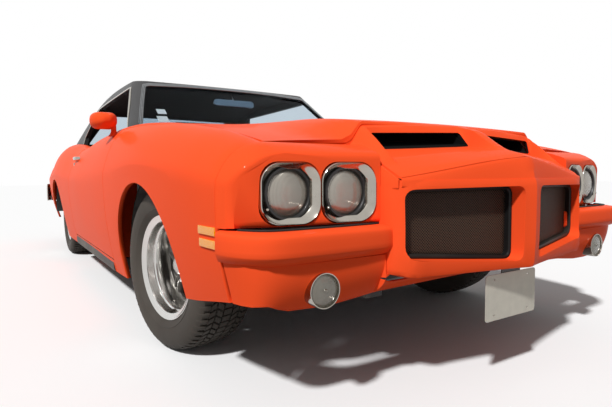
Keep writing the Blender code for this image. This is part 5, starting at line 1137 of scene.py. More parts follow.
def mouth_lean(x):
    """How far the mouth's upper lip stands behind its lower one."""
    return 0.068 - 0.026 * min(1.0, abs(x) / 0.42)


def scoop_rise(x, along, y):
    """Rise of the hood over its base at x: a low plateau, cut away ahead of the two mouths."""
    x = abs(x)
    span = eased((x - SCOOP_SPAN[0] + 0.006) / 0.008) * (1 - eased((x - SCOOP_SPAN[1]) / 0.01))
    reach = 0.492 + 0.14 * eased((along + 2.285) / 0.16)
    flank = 1 - eased((x - 0.434) / (reach - 0.434))
    fade = eased((SCOOP_FADE_Y - y) / (SCOOP_FADE_Y - SCOOP_Y))
    ahead = eased((along + 2.48) / 0.15)
    step = max(0.0, min(1.0, (along - SCOOP_Y) / mouth_lean(x)))
    return SCOOP_RISE * flank * fade * (span * step + (1 - span) * ahead)


def hood_point(row, share):
    y_mid, z_mid, z_edge, half, y_edge = row
    x = share if share <= 0.45 else 0.45 + (share - 0.45) / 0.55 * (half - SHUT_GAP - 0.45)
    t = x / half
    y = y_mid + (y_edge - y_mid) * t
    return x, y, z_mid + (z_edge - z_mid) * t * t + scoop_rise(x, y_mid, y)


HOOD_SHARES = (0.0, 0.01, 0.018, 0.0205, 0.023, 0.0255, 0.029, 0.036, 0.06, 0.1, 0.15, 0.2, 0.25, 0.3, 0.35,
    0.39, 0.412, 0.42, 0.424, 0.4275, 0.431, 0.4345, 0.439, 0.444, 0.45, 0.5, 0.56, 0.64, 0.72, 0.8, 0.9,
    0.97, 1.0)
top = []
under = []
for number, row in enumerate(hood_rows):
    line = [hood_point(row, share) for share in HOOD_SHARES]
    line = [(-x, y, z) for x, y, z in reversed(line[1:])] + line
    top.append(line)
    depth = 0.006 + 0.016 * min(1.0, number / 5)
    under.append([(x, y, z - depth) for x, y, z in line])
rings = [line + under_line[::-1] for line, under_line in zip(top, under)]
hood_mesh = loft(rings)
# Near black for the cut faces inside the scoop mouths: painted shade.
painted_scoop_shade = finish("painted_scoop_shade", (0.006, 0.006, 0.006), 0.55, vary=0.3)
shade_with(painted_scoop_shade.node_tree, {"Specular IOR Level": 0.1})
hood_mesh.materials.append(body_paint)
hood_mesh.materials.append(painted_scoop_shade)


def mouth_ring(side, push, inset):
    """The mouth's outline, leaning back with the step's face, pushed along the car."""
    y_mid, z_mid, z_edge, half, y_edge = HOOD_ROWS[4]
    ring = []
    corners = ((0.036, 0.03), (0.4, 0.03), (0.412, 0.12), (0.4205, 0.84), (0.412, 0.93), (0.038, 0.93),
        (0.03, 0.84), (0.03, 0.1))
    for x, share in corners:
        x = x + inset if x < 0.2 else x - inset
        t = x / half
        rise = SCOOP_RISE * share + (inset if share < 0.5 else -inset)
        lift = max(0.0, push) / 0.16 * (0.018 if share > 0.5 else 0.03)
        ring.append((side * x, y_mid + (y_edge - y_mid) * t + mouth_lean(x) * share + push,
            z_mid + (z_edge - z_mid) * t * t + rise + lift))
    return ring


mouths = []
for label, side in SIDES:
    mouth = loft([mouth_ring(side, push, 0.0) for push in (-0.06, 0.0, 0.16)])
    mouth.materials.append(body_paint)
    mouth.materials.append(painted_scoop_shade)
    mouth.polygons.foreach_set("material_index", [1] * len(mouth.polygons))
    mouths.append(mouth)
hood_mesh = prow_shaped(carved(hood_mesh, mouths))
piece("hood_panel", hood_mesh, None, "hood", 28, ("hood",))
# Each duct is lined and closed at its back in near black: painted shade inside the scoop.
for label, side in SIDES:
    rings = [mouth_ring(side, push, 0.0006) for push in (0.01, 0.05, 0.1, 0.155)]
    liner = loft(rings + [mouth_ring(side, 0.15, 0.003)] + [mouth_ring(side, push, 0.003) for push in (0.1,
        0.05, 0.01)] + [rings[0]], True, False)
    back = loft([mouth_ring(side, push, 0.004) for push in (0.146, 0.149)])
    piece("scoop_duct_" + label, prow_shaped(joined([liner, back])), painted_scoop_shade, "hood", 30)


# Roof. One steel shell with its pillars, covered outside in black grained vinyl with two sewn
# seams along it, and lined inside with dark perforated cloth.
RING_TABLE = ((0.776, -0.79, 0.09, 1.578, -0.025, 0.05, 0.912, 0.88, 0.93),
    (0.776, -0.765, 0.09, 1.545, -0.035, 0.06, 0.955, 0.915, 0.968), (0.722, -0.535, 0.075, 1.285, -0.05,
    0.1, 1.115, 1.115, 1.11), (0.658, -0.327, 0.05, 1.035, -0.045, 0.09, 1.272, 1.28, 1.238),
    (0.618, -0.28, 0.04, 0.972, -0.04, 0.08, 1.301, 1.314, 1.258), (0.43, -0.15, 0.025, 0.86, -0.03, 0.08,
    1.314, 1.328, 1.275), (0.16, -0.02, 0.01, 0.72, -0.01, 0.05, 1.317, 1.3318, 1.289))
ROOF_MIDDLE_Y = 0.25
PILLAR_THICKNESS = 0.028


def ring_outline(values, steps=8):
    """One closed ring of the roof shell seen from above, from the front's middle round."""
    w, yf, bow_f, yr, bow_r, r, zf, zm, zr = values
    half = [((w - r) * k / steps, yf + bow_f * ((w - r) * k / steps / w) ** 2) for k in range(steps + 1)]
    corner_y = yf + bow_f * ((w - r) / w) ** 2 + r
    half += [(w - r + r * sin(pi / 2 * k / 6), corner_y - r * cos(pi / 2 * k / 6)) for k in range(1, 7)]
    rear_y = yr + bow_r * ((w - r) / w) ** 2 - r
    half += [(w, corner_y + (rear_y - corner_y) * k / 14) for k in range(1, 15)]
    half += [(w - r + r * cos(pi / 2 * k / 6), rear_y + r * sin(pi / 2 * k / 6)) for k in range(1, 7)]
    half += [((w - r) * (1 - k / steps), yr + bow_r * ((w - r) * (1 - k / steps) / w) ** 2)
        for k in range(1, steps + 1)]
    made = []
    for x, y in half + [(-x, y) for x, y in reversed(half[1:-1])]:
        if y <= ROOF_MIDDLE_Y:
            z = zf + (zm - zf) * (1 - (1 - (y - yf) / (ROOF_MIDDLE_Y - yf)) ** 2)
        else:
            z = zm + (zr - zm) * ((y - ROOF_MIDDLE_Y) / (yr - ROOF_MIDDLE_Y)) ** 2
        made.append((x, y, z))
    return made


def roof_shell(set_in, thickness):
    """The roof's surface moved in by set_in, as a solid shell of the thickness."""
    table = []
    for k in range(len(RING_TABLE) - 1):
        before, here, there, after = (RING_TABLE[max(k - 1, 0)], RING_TABLE[k], RING_TABLE[k + 1],
            RING_TABLE[min(k + 2, len(RING_TABLE) - 1)])
        parts = 1 if k == 0 else 3
        for step in range(parts):
            t = step / parts
            table.append([(2 * t ** 3 - 3 * t ** 2 + 1) * here[c] + (-2 * t ** 3 + 3 * t ** 2) * there[c]
                + (t ** 3 - 2 * t ** 2 + t) * (there[c] - before[c]) / 2 + (t ** 3 - t ** 2)
                * (after[c] - here[c]) / 2 if parts > 1 else here[c] for c in range(9)])
    table.append(list(RING_TABLE[-1]))
    rings = [ring_outline(row) for row in table]
    count = len(rings[0])
    walls = []
    for depth in (set_in, set_in + thickness):
        wall = []
        for r, ring in enumerate(rings):
            above = rings[min(r + 1, len(rings) - 1)]
            below = rings[max(r - 1, 0)]
            for k, p in enumerate(ring):
                out = (Vector(ring[(k + 1) % count]) - Vector(ring[k - 1])).cross(Vector(above[k])
                    - Vector(below[k]))
                wall.append(Vector(p) - out.normalized() * depth)
        walls.append(wall)
    size = len(walls[0])
    faces = []
    looks = []
    for r in range(len(rings) - 1):
        for k in range(count):
            n = (k + 1) % count
            quad = (r * count + k, r * count + n, (r + 1) * count + n, (r + 1) * count + k)
            faces += [quad, tuple(size + i for i in reversed(quad))]
            looks += [0, 1]
    for k in range(count):
        n = (k + 1) % count
        faces.append((k, size + k, size + n, n))
        looks.append(1)
    last = (len(rings) - 1) * count
    for k in range(count // 2):
        quad = []
        for i in (last + k, last + k + 1, last + (count - k - 1) % count, last + (count - k) % count):
            if i not in quad:
                quad.append(i)
        faces += [tuple(quad), tuple(size + i for i in reversed(quad))]
        looks += [0, 1]
    mesh = bpy.data.meshes.new(name)
    mesh.from_pydata([tuple(p) for p in walls[0] + walls[1]], [], faces)
    mesh.polygons.foreach_set("material_index", looks)
    mesh.validate()
    return outward(mesh, 0)


def window_from_front(corners, top_z, low_z, grow):
    """A window's outline seen along the car, with a raised middle at the top and soft corners."""
    (low_x, corner_low_z), (high_x, corner_high_z) = corners
    low_x += grow
    high_x += grow
    half = [(low_x, low_z - grow), (low_x, corner_low_z - grow * 0.5),
        (high_x + 0.004, corner_high_z - 0.02), (high_x - 0.004, corner_high_z - 0.004 + grow),
        (high_x - 0.03, corner_high_z + 0.003 + grow), (high_x * 0.55, top_z - 0.002 + grow),
        (high_x * 0.25, top_z + grow)]
    return half + [(-x, z) for x, z in reversed(half)]


SIDE_WINDOW = ((-0.6, 0.86), (-0.585, 0.96), (-0.245, 1.243), (0.76, 1.228), (0.985, 1.01), (0.985, 0.86))
WINDSCREEN = (((0.7, 0.985), (0.592, 1.256)), 1.27, 0.962)
REAR_WINDOW = (((0.655, 1.0), (0.56, 1.208)), 1.216, 0.985)
vinyl = finish("grained_vinyl", (0.016, 0.0155, 0.016), 0.46, vary=0.25, size=14, grain=0.55,
    grain_size=420, cells=True, dust=0.12, dust_colour=(0.1, 0.1, 0.1))
headliner = finish("headliner_cloth", (0.03, 0.029, 0.028), 0.85, vary=0.2, grain=0.4, grain_size=900)
window_rubber = finish("window_rubber", (0.01, 0.01, 0.01), 0.6, vary=0.2, grain=0.2)
roof_mesh = roof_shell(0.0, PILLAR_THICKNESS)
ROOF_TREE = BVHTree.FromPolygons([v.co.copy() for v in roof_mesh.vertices],
    [tuple(p.vertices) for p in roof_mesh.polygons])
for look in (vinyl, headliner, window_rubber):
    roof_mesh.materials.append(look)
cutters = [along_car(window_from_front(*WINDSCREEN, 0.0), (-1.1, 0.1)),
    along_car(window_from_front(*REAR_WINDOW, 0.0), (0.7, 1.8)), across_car(SIDE_WINDOW, (-1.0, 1.0))]
for cutter in cutters:
    for look in (vinyl, headliner, window_rubber):
        cutter.materials.append(look)
    cutter.polygons.foreach_set("material_index", [2] * len(cutter.polygons))
roof_mesh = carved(roof_mesh, cutters)
piece("roof_shell", roof_mesh, None, "body", 30, ("roof",))
seams = []
for label, side in SIDES:
    rows = []
    for k in range(33):
        y = -0.235 + k * (1.13 / 32)
        line = []
        for across, proud in ((-0.007, -0.0004), (-0.0045, 0.0013), (-0.0012, 0.0016), (0.0, 0.0004),
                (0.0012, 0.0016), (0.0045, 0.0013), (0.007, -0.0004)):
            x = side * 0.455 + across
            hit = ROOF_TREE.ray_cast(Vector((x, y, 1.6)), Vector((0, 0, -1)))
            line.append((x, y, hit[0].z + proud))
        rows.append(line)
    seams.append(sheet_grid(rows))
seam_mesh = joined(seams)
work = bmesh.new()
work.from_mesh(seam_mesh)
bmesh.ops.recalc_face_normals(work, faces=work.faces)
for face in work.faces:
    if face.normal.z < 0:
        face.normal_flip()
work.to_mesh(seam_mesh)
work.free()
sheet_metal(piece("roof_seams", seam_mesh, vinyl, "body", 40), 0.001)


# Windscreen and rear window. Laminated glass with a light green-grey tint, bonded in rubber.
tinted_glass = finish("tinted_glass", (0.52, 0.61, 0.68), 0.02, vary=0.03, size=3.0)
shade_with(tinted_glass.node_tree, {"Transmission Weight": 1.0, "IOR": 1.05, "Specular IOR Level": 0.2})
for name, window, low_y, high_y in (("windscreen", WINDSCREEN, -1.1, 0.1), ("rear_window", REAR_WINDOW, 0.7,
        1.8)):
    pane = roof_shell(0.0065, 0.005)
    cutter = along_car(window_from_front(*window, -0.0006), (low_y, high_y))
    pane = carved(pane, [cutter], "INTERSECT")
    piece(name + "_glass", pane, tinted_glass, "body", 40, (name,))


# Window trims. Bright pressed mouldings with several fine ribs round the windscreen, the rear
# window and the side openings, snapped over clips, and a drip rail above the side glass.
def framing(outlines, axis, start, tree, heights):
    """A ribbed strip round an opening: outlines grow outwards, heights stand off the surface."""
    points = []
    normals = []
    for outline in outlines:
        for a, b in outline:
            if axis == "Y":
                origin, way = Vector((a, start, b)), Vector((0, -1 if start > 0 else 1, 0))
            else:
                origin, way = Vector((start, a, b)), Vector((-1 if start > 0 else 1, 0, 0))
            place, normal = tree.ray_cast(origin, way)[:2]
            if place is None:
                place, normal = tree.find_nearest(origin + way * abs(start) * 0.5)[:2]
            if normal.dot(way) > 0:
                normal = -normal
            points.append(place)
            normals.append(normal)
    count = len(outlines[0])
    rows = []
    for r, height in enumerate(heights):
        rows.append([points[r * count + k] + normals[r * count + k] * height for k in range(count)])
    return rows


def spread(outline, gap, closed=True):
    """The outline with points set about a gap apart."""
    made = []
    pairs = list(zip(outline, outline[1:] + outline[:1])) if closed else list(zip(outline, outline[1:]))
    for a, b in pairs:
        parts = max(1, round((Vector(b) - Vector(a)).length / gap))
        made += [tuple(Vector(a).lerp(Vector(b), k / parts)) for k in range(parts)]
    if not closed:
        made.append(outline[-1])
    return made


def grown(outline, amount):
    """The outline with every side pushed outwards, corner by corner."""
    area = sum(a[0] * b[1] - b[0] * a[1] for a, b in zip(outline, outline[1:] + outline[:1]))
    way = 1 if area > 0 else -1
    made = []
    for k, here in enumerate(outline):
        before, after = Vector(outline[k - 1]), Vector(outline[(k + 1) % len(outline)])
        here = Vector(here)
        out = []
        for a, b in ((before, here), (here, after)):
            run = (b - a)
            out.append(Vector((run.y, -run.x)).normalized() * way)
        both = (out[0] + out[1])
        both = both / max(0.35, both.length_squared / 2) if both.length > 1e-6 else out[0]
        made.append(tuple(here + both * amount))
    return made


def strip_piece(name, rows, look, closed=True):
    middle = Vector((0, 0.3, 0.9))
    mesh = outward(sheet_grid(rows, closed), 0,
        lambda face: face.normal.dot(face.calc_center_median() - middle))
    return sheet_metal(piece(name, mesh, look, "body"), 0.0014)


window_bright = finish("window_bright", (0.2, 0.21, 0.22), 0.16, 1.0, vary=0.3, size=30, dust=0.1)
RIBBED = ((0.001, 0.0005), (0.003, 0.0042), (0.0075, 0.005), (0.009, 0.003), (0.0105, 0.005),
    (0.015, 0.0052), (0.0165, 0.0032), (0.018, 0.005), (0.0215, 0.004), (0.023, 0.0006))
for name, window, start in (("windscreen", WINDSCREEN, -1.6), ("rear_window", REAR_WINDOW, 2.2)):
    base = spread(window_from_front(*window, 0.0), 0.035)
    outlines = [grown(base, grow) for grow, height in RIBBED]
    rows = framing(outlines, "Y", start, ROOF_TREE, [height for grow, height in RIBBED])
    strip_piece(name + "_trim", rows, window_bright)
SLIM = ((0.001, 0.0005), (0.002, 0.003), (0.006, 0.0042), (0.01, 0.0042), (0.012, 0.003), (0.013, 0.0005))
for label, side in SIDES:
    base = spread(list(SIDE_WINDOW), 0.04)
    outlines = [grown(base, grow) for grow, height in SLIM]
    keep = [k for k, (y, z) in enumerate(base) if z > 0.925]
    first = next(k for k in range(len(base)) if base[k][1] > 0.925 and base[k - 1][1] <= 0.925)
    order = [(first + n) % len(base) for n in range(len(keep))]
    outlines = [[outline[k] for k in order] for outline in outlines]
    rows = framing(outlines, "X", side * 1.6, ROOF_TREE, [height for grow, height in SLIM])
    strip_piece("side_window_trim_" + label, rows, bright_trim, False)


# Trunk lid. A flat pressed panel with a slight crown and turned edges, hinged at its front.
lid_rows = []
for y in stations(1.585, 2.425, 0.06):
    edge_z = row_at(SIDE_TABLE, y)[2]
    line = []
    for k in range(-14, 15):
        x = LID_HALF * k / 14
        line.append((x, y, edge_z + 0.018 * (1 - (k / 14) ** 2)))
    lid_rows.append(line)
rings = [line + [(x, y, z - 0.0195) for x, y, z in reversed(line)] for line in lid_rows]
lid = piece("trunk_lid_panel", loft(rings), body_paint, "trunk_lid", 32, ("trunk_lid",))
softened(lid, 0.003, 2, 60)
lock = turned(((0.0001, 0.006), (0.006, 0.006), (0.0075, 0.004), (0.014, 0.005), (0.017, 0.002),
    (0.017, -0.004), (0.0001, -0.004)), 28)
lock.transform(slide(0.0, 2.4705, 0.735) @ spin(90, "Z"))
piece("trunk_lock", lock, bright_trim, "body", 34)


# Rear panel and rear bumper. A painted steel panel closes the tail under the lid, and a chromed
# steel bar wraps the corners, with long ribbed red tail lamps let into its face on each side.
panel_outline = [(-0.82, 0.4), (0.82, 0.4), (0.866, 0.51), (0.876, 0.64), (0.862, 0.73), (0.832, 0.802),
    (0.8, 0.817), (0.662, 0.826), (0.64, 0.831), (0.0, 0.846), (-0.64, 0.831), (-0.662, 0.826),
    (-0.8, 0.817), (-0.832, 0.802), (-0.862, 0.73), (-0.876, 0.64), (-0.866, 0.51)]
panel = outward(along_car(panel_outline, (2.4405, 2.47)))
dip = [(-0.6, 0.64), (0.6, 0.64), (0.6, 0.7), (-0.6, 0.7)]
panel = carved(panel, [outward(along_car(dip, (2.464, 2.6)))])
softened(piece("tail_panel", panel, body_paint, "body", 34, ("rear_panel",)), 0.004, 2, 50)
REAR_PATH = ((0.0, 2.582, 0.06), (0.12, 2.5815, 0.06), (0.24, 2.58, 0.06), (0.35, 2.578, 0.06),
    (0.45, 2.5735, 0.057), (0.55, 2.5675, 0.054), (0.65, 2.562, 0.05), (0.74, 2.552, 0.041),
    (0.8, 2.544, 0.034), (0.83, 2.54, 0.03), (0.862, 2.531, 0.022), (0.888, 2.52, 0.016),
    (0.908, 2.5, 0.013), (0.924, 2.475, 0.011), (0.935, 2.44, 0.01), (0.943, 2.402, 0.009),
    (0.949, 2.332, 0.009))
REAR_FACE = ((0.018, 0.43), (0.008, 0.436), (0.002, 0.448), (0.0, 0.462), (0.0, 0.52), (0.0, 0.566),
    (0.003, 0.582), (0.01, 0.596), (0.02, 0.6095))
path = [(-x, y, depth) for x, y, depth in reversed(REAR_PATH[1:])] + list(REAR_PATH)


def rear_face_y(x):
    for (near_x, near_y, _), (far_x, far_y, _) in zip(REAR_PATH, REAR_PATH[1:]):
        if abs(x) <= far_x:
            return near_y + (far_y - near_y) * (abs(x) - near_x) / (far_x - near_x)


def tail_block(side, proud, back, edge):
    """A block along the bumper's face, from proud of it to behind it."""
    xs = (0.56 + edge, 0.62, 0.68, 0.74, 0.8, 0.825 - edge)
    outline = [(side * x, rear_face_y(x) + proud) for x in xs] + [(side * x, rear_face_y(x) - back)
        for x in reversed(xs)]
    return loft([[(x, y, z) for x, y in outline] for z in (0.478 + edge, 0.56 - edge)])


bar = carved(bar_along(path, REAR_FACE, 1, 0.43, 0.6095, -1, 0.03),
    [tail_block(side, 0.05, 0.009, 0.0) for label, side in SIDES])
bumper_chrome = finish("bumper_chrome", (0.52, 0.5, 0.46), 0.12, 1.0, vary=0.18, size=7, dust=0.15)
softened(piece("rear_bumper_bar", bar, bumper_chrome, "body", 40, ("rear_bumper",)), 0.0015, 2, 60)
red_lens = lens_look("red_lens", (0.4, 0.008, 0.006), 70.0, "X")
tail_lamps = []
for label, side in SIDES:
    for low, high in ((0.484, 0.5065), (0.5085, 0.5295), (0.5315, 0.554)):
        rings = []
        for x, out in ((0.565, -0.008), (0.567, -0.003), (0.6, -0.0006), (0.66, 0.0), (0.72, 0.0),
                (0.79, -0.0006), (0.818, -0.003), (0.82, -0.008)):
            y = rear_face_y(x) - 0.0015
            middle = (low + high) / 2
            half = (high - low) / 2
            rings.append([(side * x, y + out - drop, middle + half * share) for share,
                drop in ((-1.0, 0.0075), (-0.9, 0.003), (-0.5, 0.0006), (0.0, 0.0), (0.5, 0.0006),
                (0.9, 0.003), (1.0, 0.0075))])
        tail_lamps.append(loft(rings))
piece("tail_lamps", joined(tail_lamps), red_lens, "body", 34)
for label, side in SIDES:
    iron = loft([[(side * x, y, z) for x, z in ((0.425, 0.47), (0.475, 0.47), (0.475, 0.52), (0.425, 0.52))]
        for y in (2.4706, 2.53)])
    piece("bumper_iron_" + label, iron, primer_black, "body", 34)


# Wipers. Two pressed arms on spindles at the foot of the windscreen, each with a rubber blade
# that it springs on to the glass.
arm_black = finish("wiper_black", (0.018, 0.018, 0.018), 0.42, 0.3, vary=0.25)
WIPER_SURFACE_GAP = 0.011
for number, (foot_x, tip_x, foot_z, tip_z) in enumerate(((0.52, 0.04, 0.976, 1.0),
        (-0.06, -0.52, 0.976, 0.998))):
    arm_points = []
    for k in range(13):
        t = k / 12
        x = foot_x + (tip_x - foot_x) * t
        z = foot_z + (tip_z - foot_z) * t + 0.006 * sin(pi * t)
        hit = ROOF_TREE.ray_cast(Vector((x, -1.6, z)), Vector((0, 1, 0)))
        arm_points.append(Vector((x, hit[0].y - WIPER_SURFACE_GAP, z)))
    arm_rings = []
    for k, p in enumerate(arm_points):
        half = 0.006 - 0.003 * k / 12
        arm_rings.append([(p.x, p.y + dy * 0.0025, p.z + dz * half) for dy,
            dz in ((-1, -1), (1, -1), (1, 1), (-1, 1))])
    blade_rings = []
    for k, p in enumerate(arm_points[3:]):
        blade_rings.append([(p.x, p.y + 0.0035 + dy * 0.0028, p.z - 0.011 + dz * 0.006) for dy,
            dz in ((-1, -1), (1, -0.4), (1, 0.4), (-1, 1))])
    foot = turned(((0.0001, 0.012), (0.008, 0.011), (0.012, 0.004), (0.012, -0.01), (0.0001, -0.01)), 20)
    foot.transform(slide(*arm_points[0]) @ spin(-90, "Z"))
    piece("wiper_" + ("left", "right")[number], joined([loft(arm_rings), loft(blade_rings), foot]),
        arm_black, "body", 34)


# Dashboard. Padded black vinyl over steel, with a row of round gauges in bright rings in front of
# the driver, a radio plate in the middle and a glove box lid on the passenger's side.
dash_vinyl = finish("dash_vinyl", (0.017, 0.0165, 0.016), 0.52, vary=0.2, grain=0.45, grain_size=560,
    cells=True)
dial_black = finish("dial_black", (0.01, 0.01, 0.011), 0.25, vary=0.2, coat=0.6)
dash_profile = ((-0.69, 0.876), (-0.6, 0.897), (-0.5, 0.918), (-0.42, 0.932), (-0.385, 0.934),
    (-0.35, 0.925), (-0.333, 0.908), (-0.331, 0.89), (-0.338, 0.872), (-0.35, 0.862), (-0.352, 0.81),
    (-0.36, 0.78), (-0.385, 0.73), (-0.405, 0.705), (-0.44, 0.694), (-0.48, 0.69), (-0.69, 0.76))
dash = across_car(dash_profile, (-0.69, -0.4, 0.0, 0.4, 0.69))
piece("dash_pad", dash, dash_vinyl, "body", 34, ("dashboard",))
gauges = []
faces_black = []
needles = []
for x, radius in ((0.5, 0.034), (0.415, 0.046), (0.315, 0.046), (0.23, 0.034), (0.15, 0.026)):
    ring = turned(((radius - 0.004, -0.002), (radius - 0.004, 0.009), (radius, 0.012),
        (radius + 0.004, 0.009), (radius + 0.005, -0.002)), 36)
    face = turned(((0.0001, 0.004), (radius - 0.005, 0.003), (radius - 0.005, -0.003), (0.0001, -0.003)), 36)
    pointer = ((-0.0012, -0.006), (0.0012, -0.006), (0.0006, radius * 0.72), (-0.0006, radius * 0.72))
    needle = across_car(pointer, (0.0055, 0.0062))
    needle.transform(spin(40, "X"))
    place = slide(x, -0.3535, 0.835) @ spin(90, "Z")
    for mesh in (ring, face, needle):
        mesh.transform(place)
    gauges.append(ring)
    faces_black.append(face)
    needles.append(needle)
piece("gauge_rings", joined(gauges), bright_trim, "body", 34)
piece("gauge_faces", joined(faces_black), dial_black, "body", 34)
needle_look = finish("needle_orange", (0.8, 0.2, 0.05), 0.5, vary=0.1)
piece("gauge_needles", joined(needles), needle_look, "body", 34)
lid_outline = rounded_square(-0.42, 0.822, 0.33, 0.1, 0.012, 3)
glove = along_car(lid_outline, (-0.356, -0.3505))
radio = along_car(rounded_square(0.0, 0.828, 0.19, 0.052, 0.006, 3), (-0.358, -0.348))
piece("glove_box_lid", glove, card_vinyl, "body", 34)
knobs = [radio]
for x in (-0.075, 0.075):
    knob = turned(((0.0001, 0.022), (0.009, 0.021), (0.011, 0.016), (0.011, 0.0), (0.0001, 0.0)), 20)
    knob.transform(slide(x, -0.35, 0.828) @ spin(90, "Z"))
    knobs.append(knob)
piece("radio_plate", joined(knobs), dial_black, "body", 34)


# Steering wheel. A black moulded rim with finger grips behind it, three drilled steel spokes and
# a padded centre, on a ribbed column jacket; the wheel turns on the column's axis.
STEERING_CENTRE = Vector((0.37, -0.215, 0.83))
STEERING_PLACE = (slide(*STEERING_CENTRE) @ spin(24, "X") @ spin(90, "Z"))
rim_rings = []
for k in range(97):
    angle = 2 * pi * (k % 96) / 96
    grip = 0.0008 * cos(angle * 36)
    ring = []
    for n in range(12):
        turn = 2 * pi * n / 12
        radius = 0.0112 + (grip if cos(turn) < 0.2 else 0.0)
        ring.append((radius * 0.95 * cos(turn), (0.189 + radius * sin(turn)) * sin(angle),
            (0.189 + radius * sin(turn)) * cos(angle)))
    rim_rings.append(ring)
rim_loop = loft(rim_rings, True, False)
steering_black = finish("steering_black", (0.015, 0.015, 0.015), 0.42, vary=0.2, grain=0.25, grain_size=700)
spoke_steel = finish("spoke_steel", (0.34, 0.33, 0.31), 0.3, 1.0, vary=0.2, grain=0.2, grain_size=300)
arms = []
for turn in (90, -90, 180):
    rings = [[(depth + dx * 0.0012, half * dy, radius) for dx, dy in ((-1, -1), (1, -1), (1, 1), (-1, 1))]
        for radius, half, depth in ((0.04, 0.02, -0.004), (0.08, 0.0165, -0.01), (0.13, 0.0145, -0.008),
        (0.182, 0.014, 0.0))]
    arm = loft(rings)
    holes = []
    for radius in (0.078, 0.104, 0.13, 0.154):
        hole = turned(((0.0001, 0.03), (0.0058, 0.03), (0.0058, -0.04), (0.0001, -0.04)), 14)
        hole.transform(slide(0, 0, radius))
        holes.append(hole)
    arm = carved(arm, holes)
    arm.transform(spin(turn, "X"))
    arms.append(arm)
hub_pad = turned(((0.0001, 0.017), (0.025, 0.016), (0.043, 0.012), (0.05, 0.004), (0.05, -0.006),
    (0.036, -0.014), (0.03, -0.04), (0.026, -0.098), (0.0001, -0.098)), 40)
for mesh in [rim_loop, hub_pad] + arms:
    mesh.transform(STEERING_PLACE)
piece("steering_rim", joined([rim_loop, hub_pad]), steering_black, "steering_wheel", 34,
    ("steering_wheel",))
piece("steering_spokes", outward(joined(arms)), spoke_steel, "steering_wheel", 30)
jacket = turned(((0.0001, -0.101), (0.028, -0.101), (0.03, -0.106), (0.03, -0.15), (0.027, -0.155),
    (0.027, -0.215), (0.0001, -0.215)), 32)
stalk_rings = [[(-0.125 + x * 0.02, 0.028 + reach_out, radius * sin(a)) for x,
    a in [(0.15 * cos(2 * pi * n / 8), 2 * pi * n / 8) for n in range(8)]] for reach_out,
    radius in ((0.0, 0.004), (0.08, 0.0035), (0.085, 0.006), (0.105, 0.006), (0.108, 0.002))]
jacket = joined([jacket, loft(stalk_rings)])
jacket.transform(STEERING_PLACE)
piece("column_jacket", outward(jacket), dash_vinyl, "body", 34)


# Door mirrors. Die-cast shells painted with the body on a small streamlined foot, each with a
# round-cornered glass that faces the driver.
mirror_glass = finish("mirror_glass", (0.55, 0.62, 0.66), 0.03, 1.0, vary=0.06, size=12)
MIRROR_CENTRE = (0.935, -0.8, 0.975)
for label, side in SIDES:
    rings = []
    for y, width, height in ((-0.085, 0.02, 0.014), (-0.083, 0.036, 0.026), (-0.076, 0.06, 0.043),
            (-0.066, 0.08, 0.055), (-0.048, 0.102, 0.068), (-0.025, 0.117, 0.078), (0.005, 0.126, 0.083),
            (0.028, 0.1295, 0.0855), (0.035, 0.1285, 0.085), (0.035, 0.117, 0.074), (0.026, 0.114, 0.072)):
        ring = rounded_square(0.0, 0.0, width, height, min(width, height) * 0.42, 5)
        rings.append([(side * (x + MIRROR_CENTRE[0]), y + MIRROR_CENTRE[1], z + MIRROR_CENTRE[2]) for x,
            z in ring])
    shell = loft(rings)
    foot_x = 0.89
    section = side_section(-0.8)
    base_z = min(section, key=lambda p: abs(p[0] - foot_x))[1] - 0.002
    foot_rings = []
    for z, half_x, half_y in ((base_z - 0.003, 0.026, 0.042), (base_z + 0.003, 0.025, 0.041),
            (base_z + 0.008, 0.019, 0.034), (base_z + 0.02, 0.013, 0.024), (0.95, 0.013, 0.022)):
        foot_rings.append([(side * foot_x + half_x * cos(2 * pi * n / 20),
            -0.8 + half_y * sin(2 * pi * n / 20),
            z - (0.1 * half_x * cos(2 * pi * n / 20) * side if z < base_z + 0.01 else 0.0))
            for n in range(20)])
    body_mesh = carved(shell, [loft(foot_rings)], "UNION")
    piece("mirror_shell_" + label, body_mesh, body_paint, "door_" + label, 34,
        ("door_mirror_" + label,))
    pane_outline = rounded_square(0.0, 0.0, 0.114, 0.071, 0.03, 5)
    pane = loft([[(side * (x + MIRROR_CENTRE[0]), y + MIRROR_CENTRE[1], z + MIRROR_CENTRE[2]) for x,
        z in pane_outline] for y in (0.0262, 0.028)])
    piece("mirror_pane_" + label, pane, mirror_glass, "door_" + label, 34)


# Interior mirror. A slim glass in a black case on a bright stem that is screwed to the header.
case_outline = rounded_square(0.0, 0.0, 0.3, 0.046, 0.02, 5)
tilt = slide(0.0, -0.348, 1.184) @ spin(-8, "X")
case = loft([[(x * grow, y, z * grow) for x, z in case_outline] for y,
    grow in ((-0.012, 0.9), (-0.011, 0.965), (-0.007, 1.0), (0.009, 1.0), (0.01, 0.985))])
case.transform(tilt)
pane = loft([[(x * 0.965, y, z * 0.9) for x, z in case_outline] for y in (0.0095, 0.0108)])
pane.transform(tilt)
stem = loft([[(0.006 * cos(2 * pi * n / 12), y + 0.005 * sin(2 * pi * n / 12), z) for n in range(12)] for y,
    z in ((-0.345, 1.195), (-0.334, 1.215), (-0.316, 1.236), (-0.292, 1.262))])
case_look = finish("mirror_case", (0.3, 0.36, 0.42), 0.22, 0.8, vary=0.2, size=30)
piece("inner_mirror_case", case, case_look, "body", 34, ("interior_mirror",))
piece("inner_mirror_pane", pane, mirror_glass, "body", 34)
piece("inner_mirror_stem", stem, bright_trim, "body", 34)


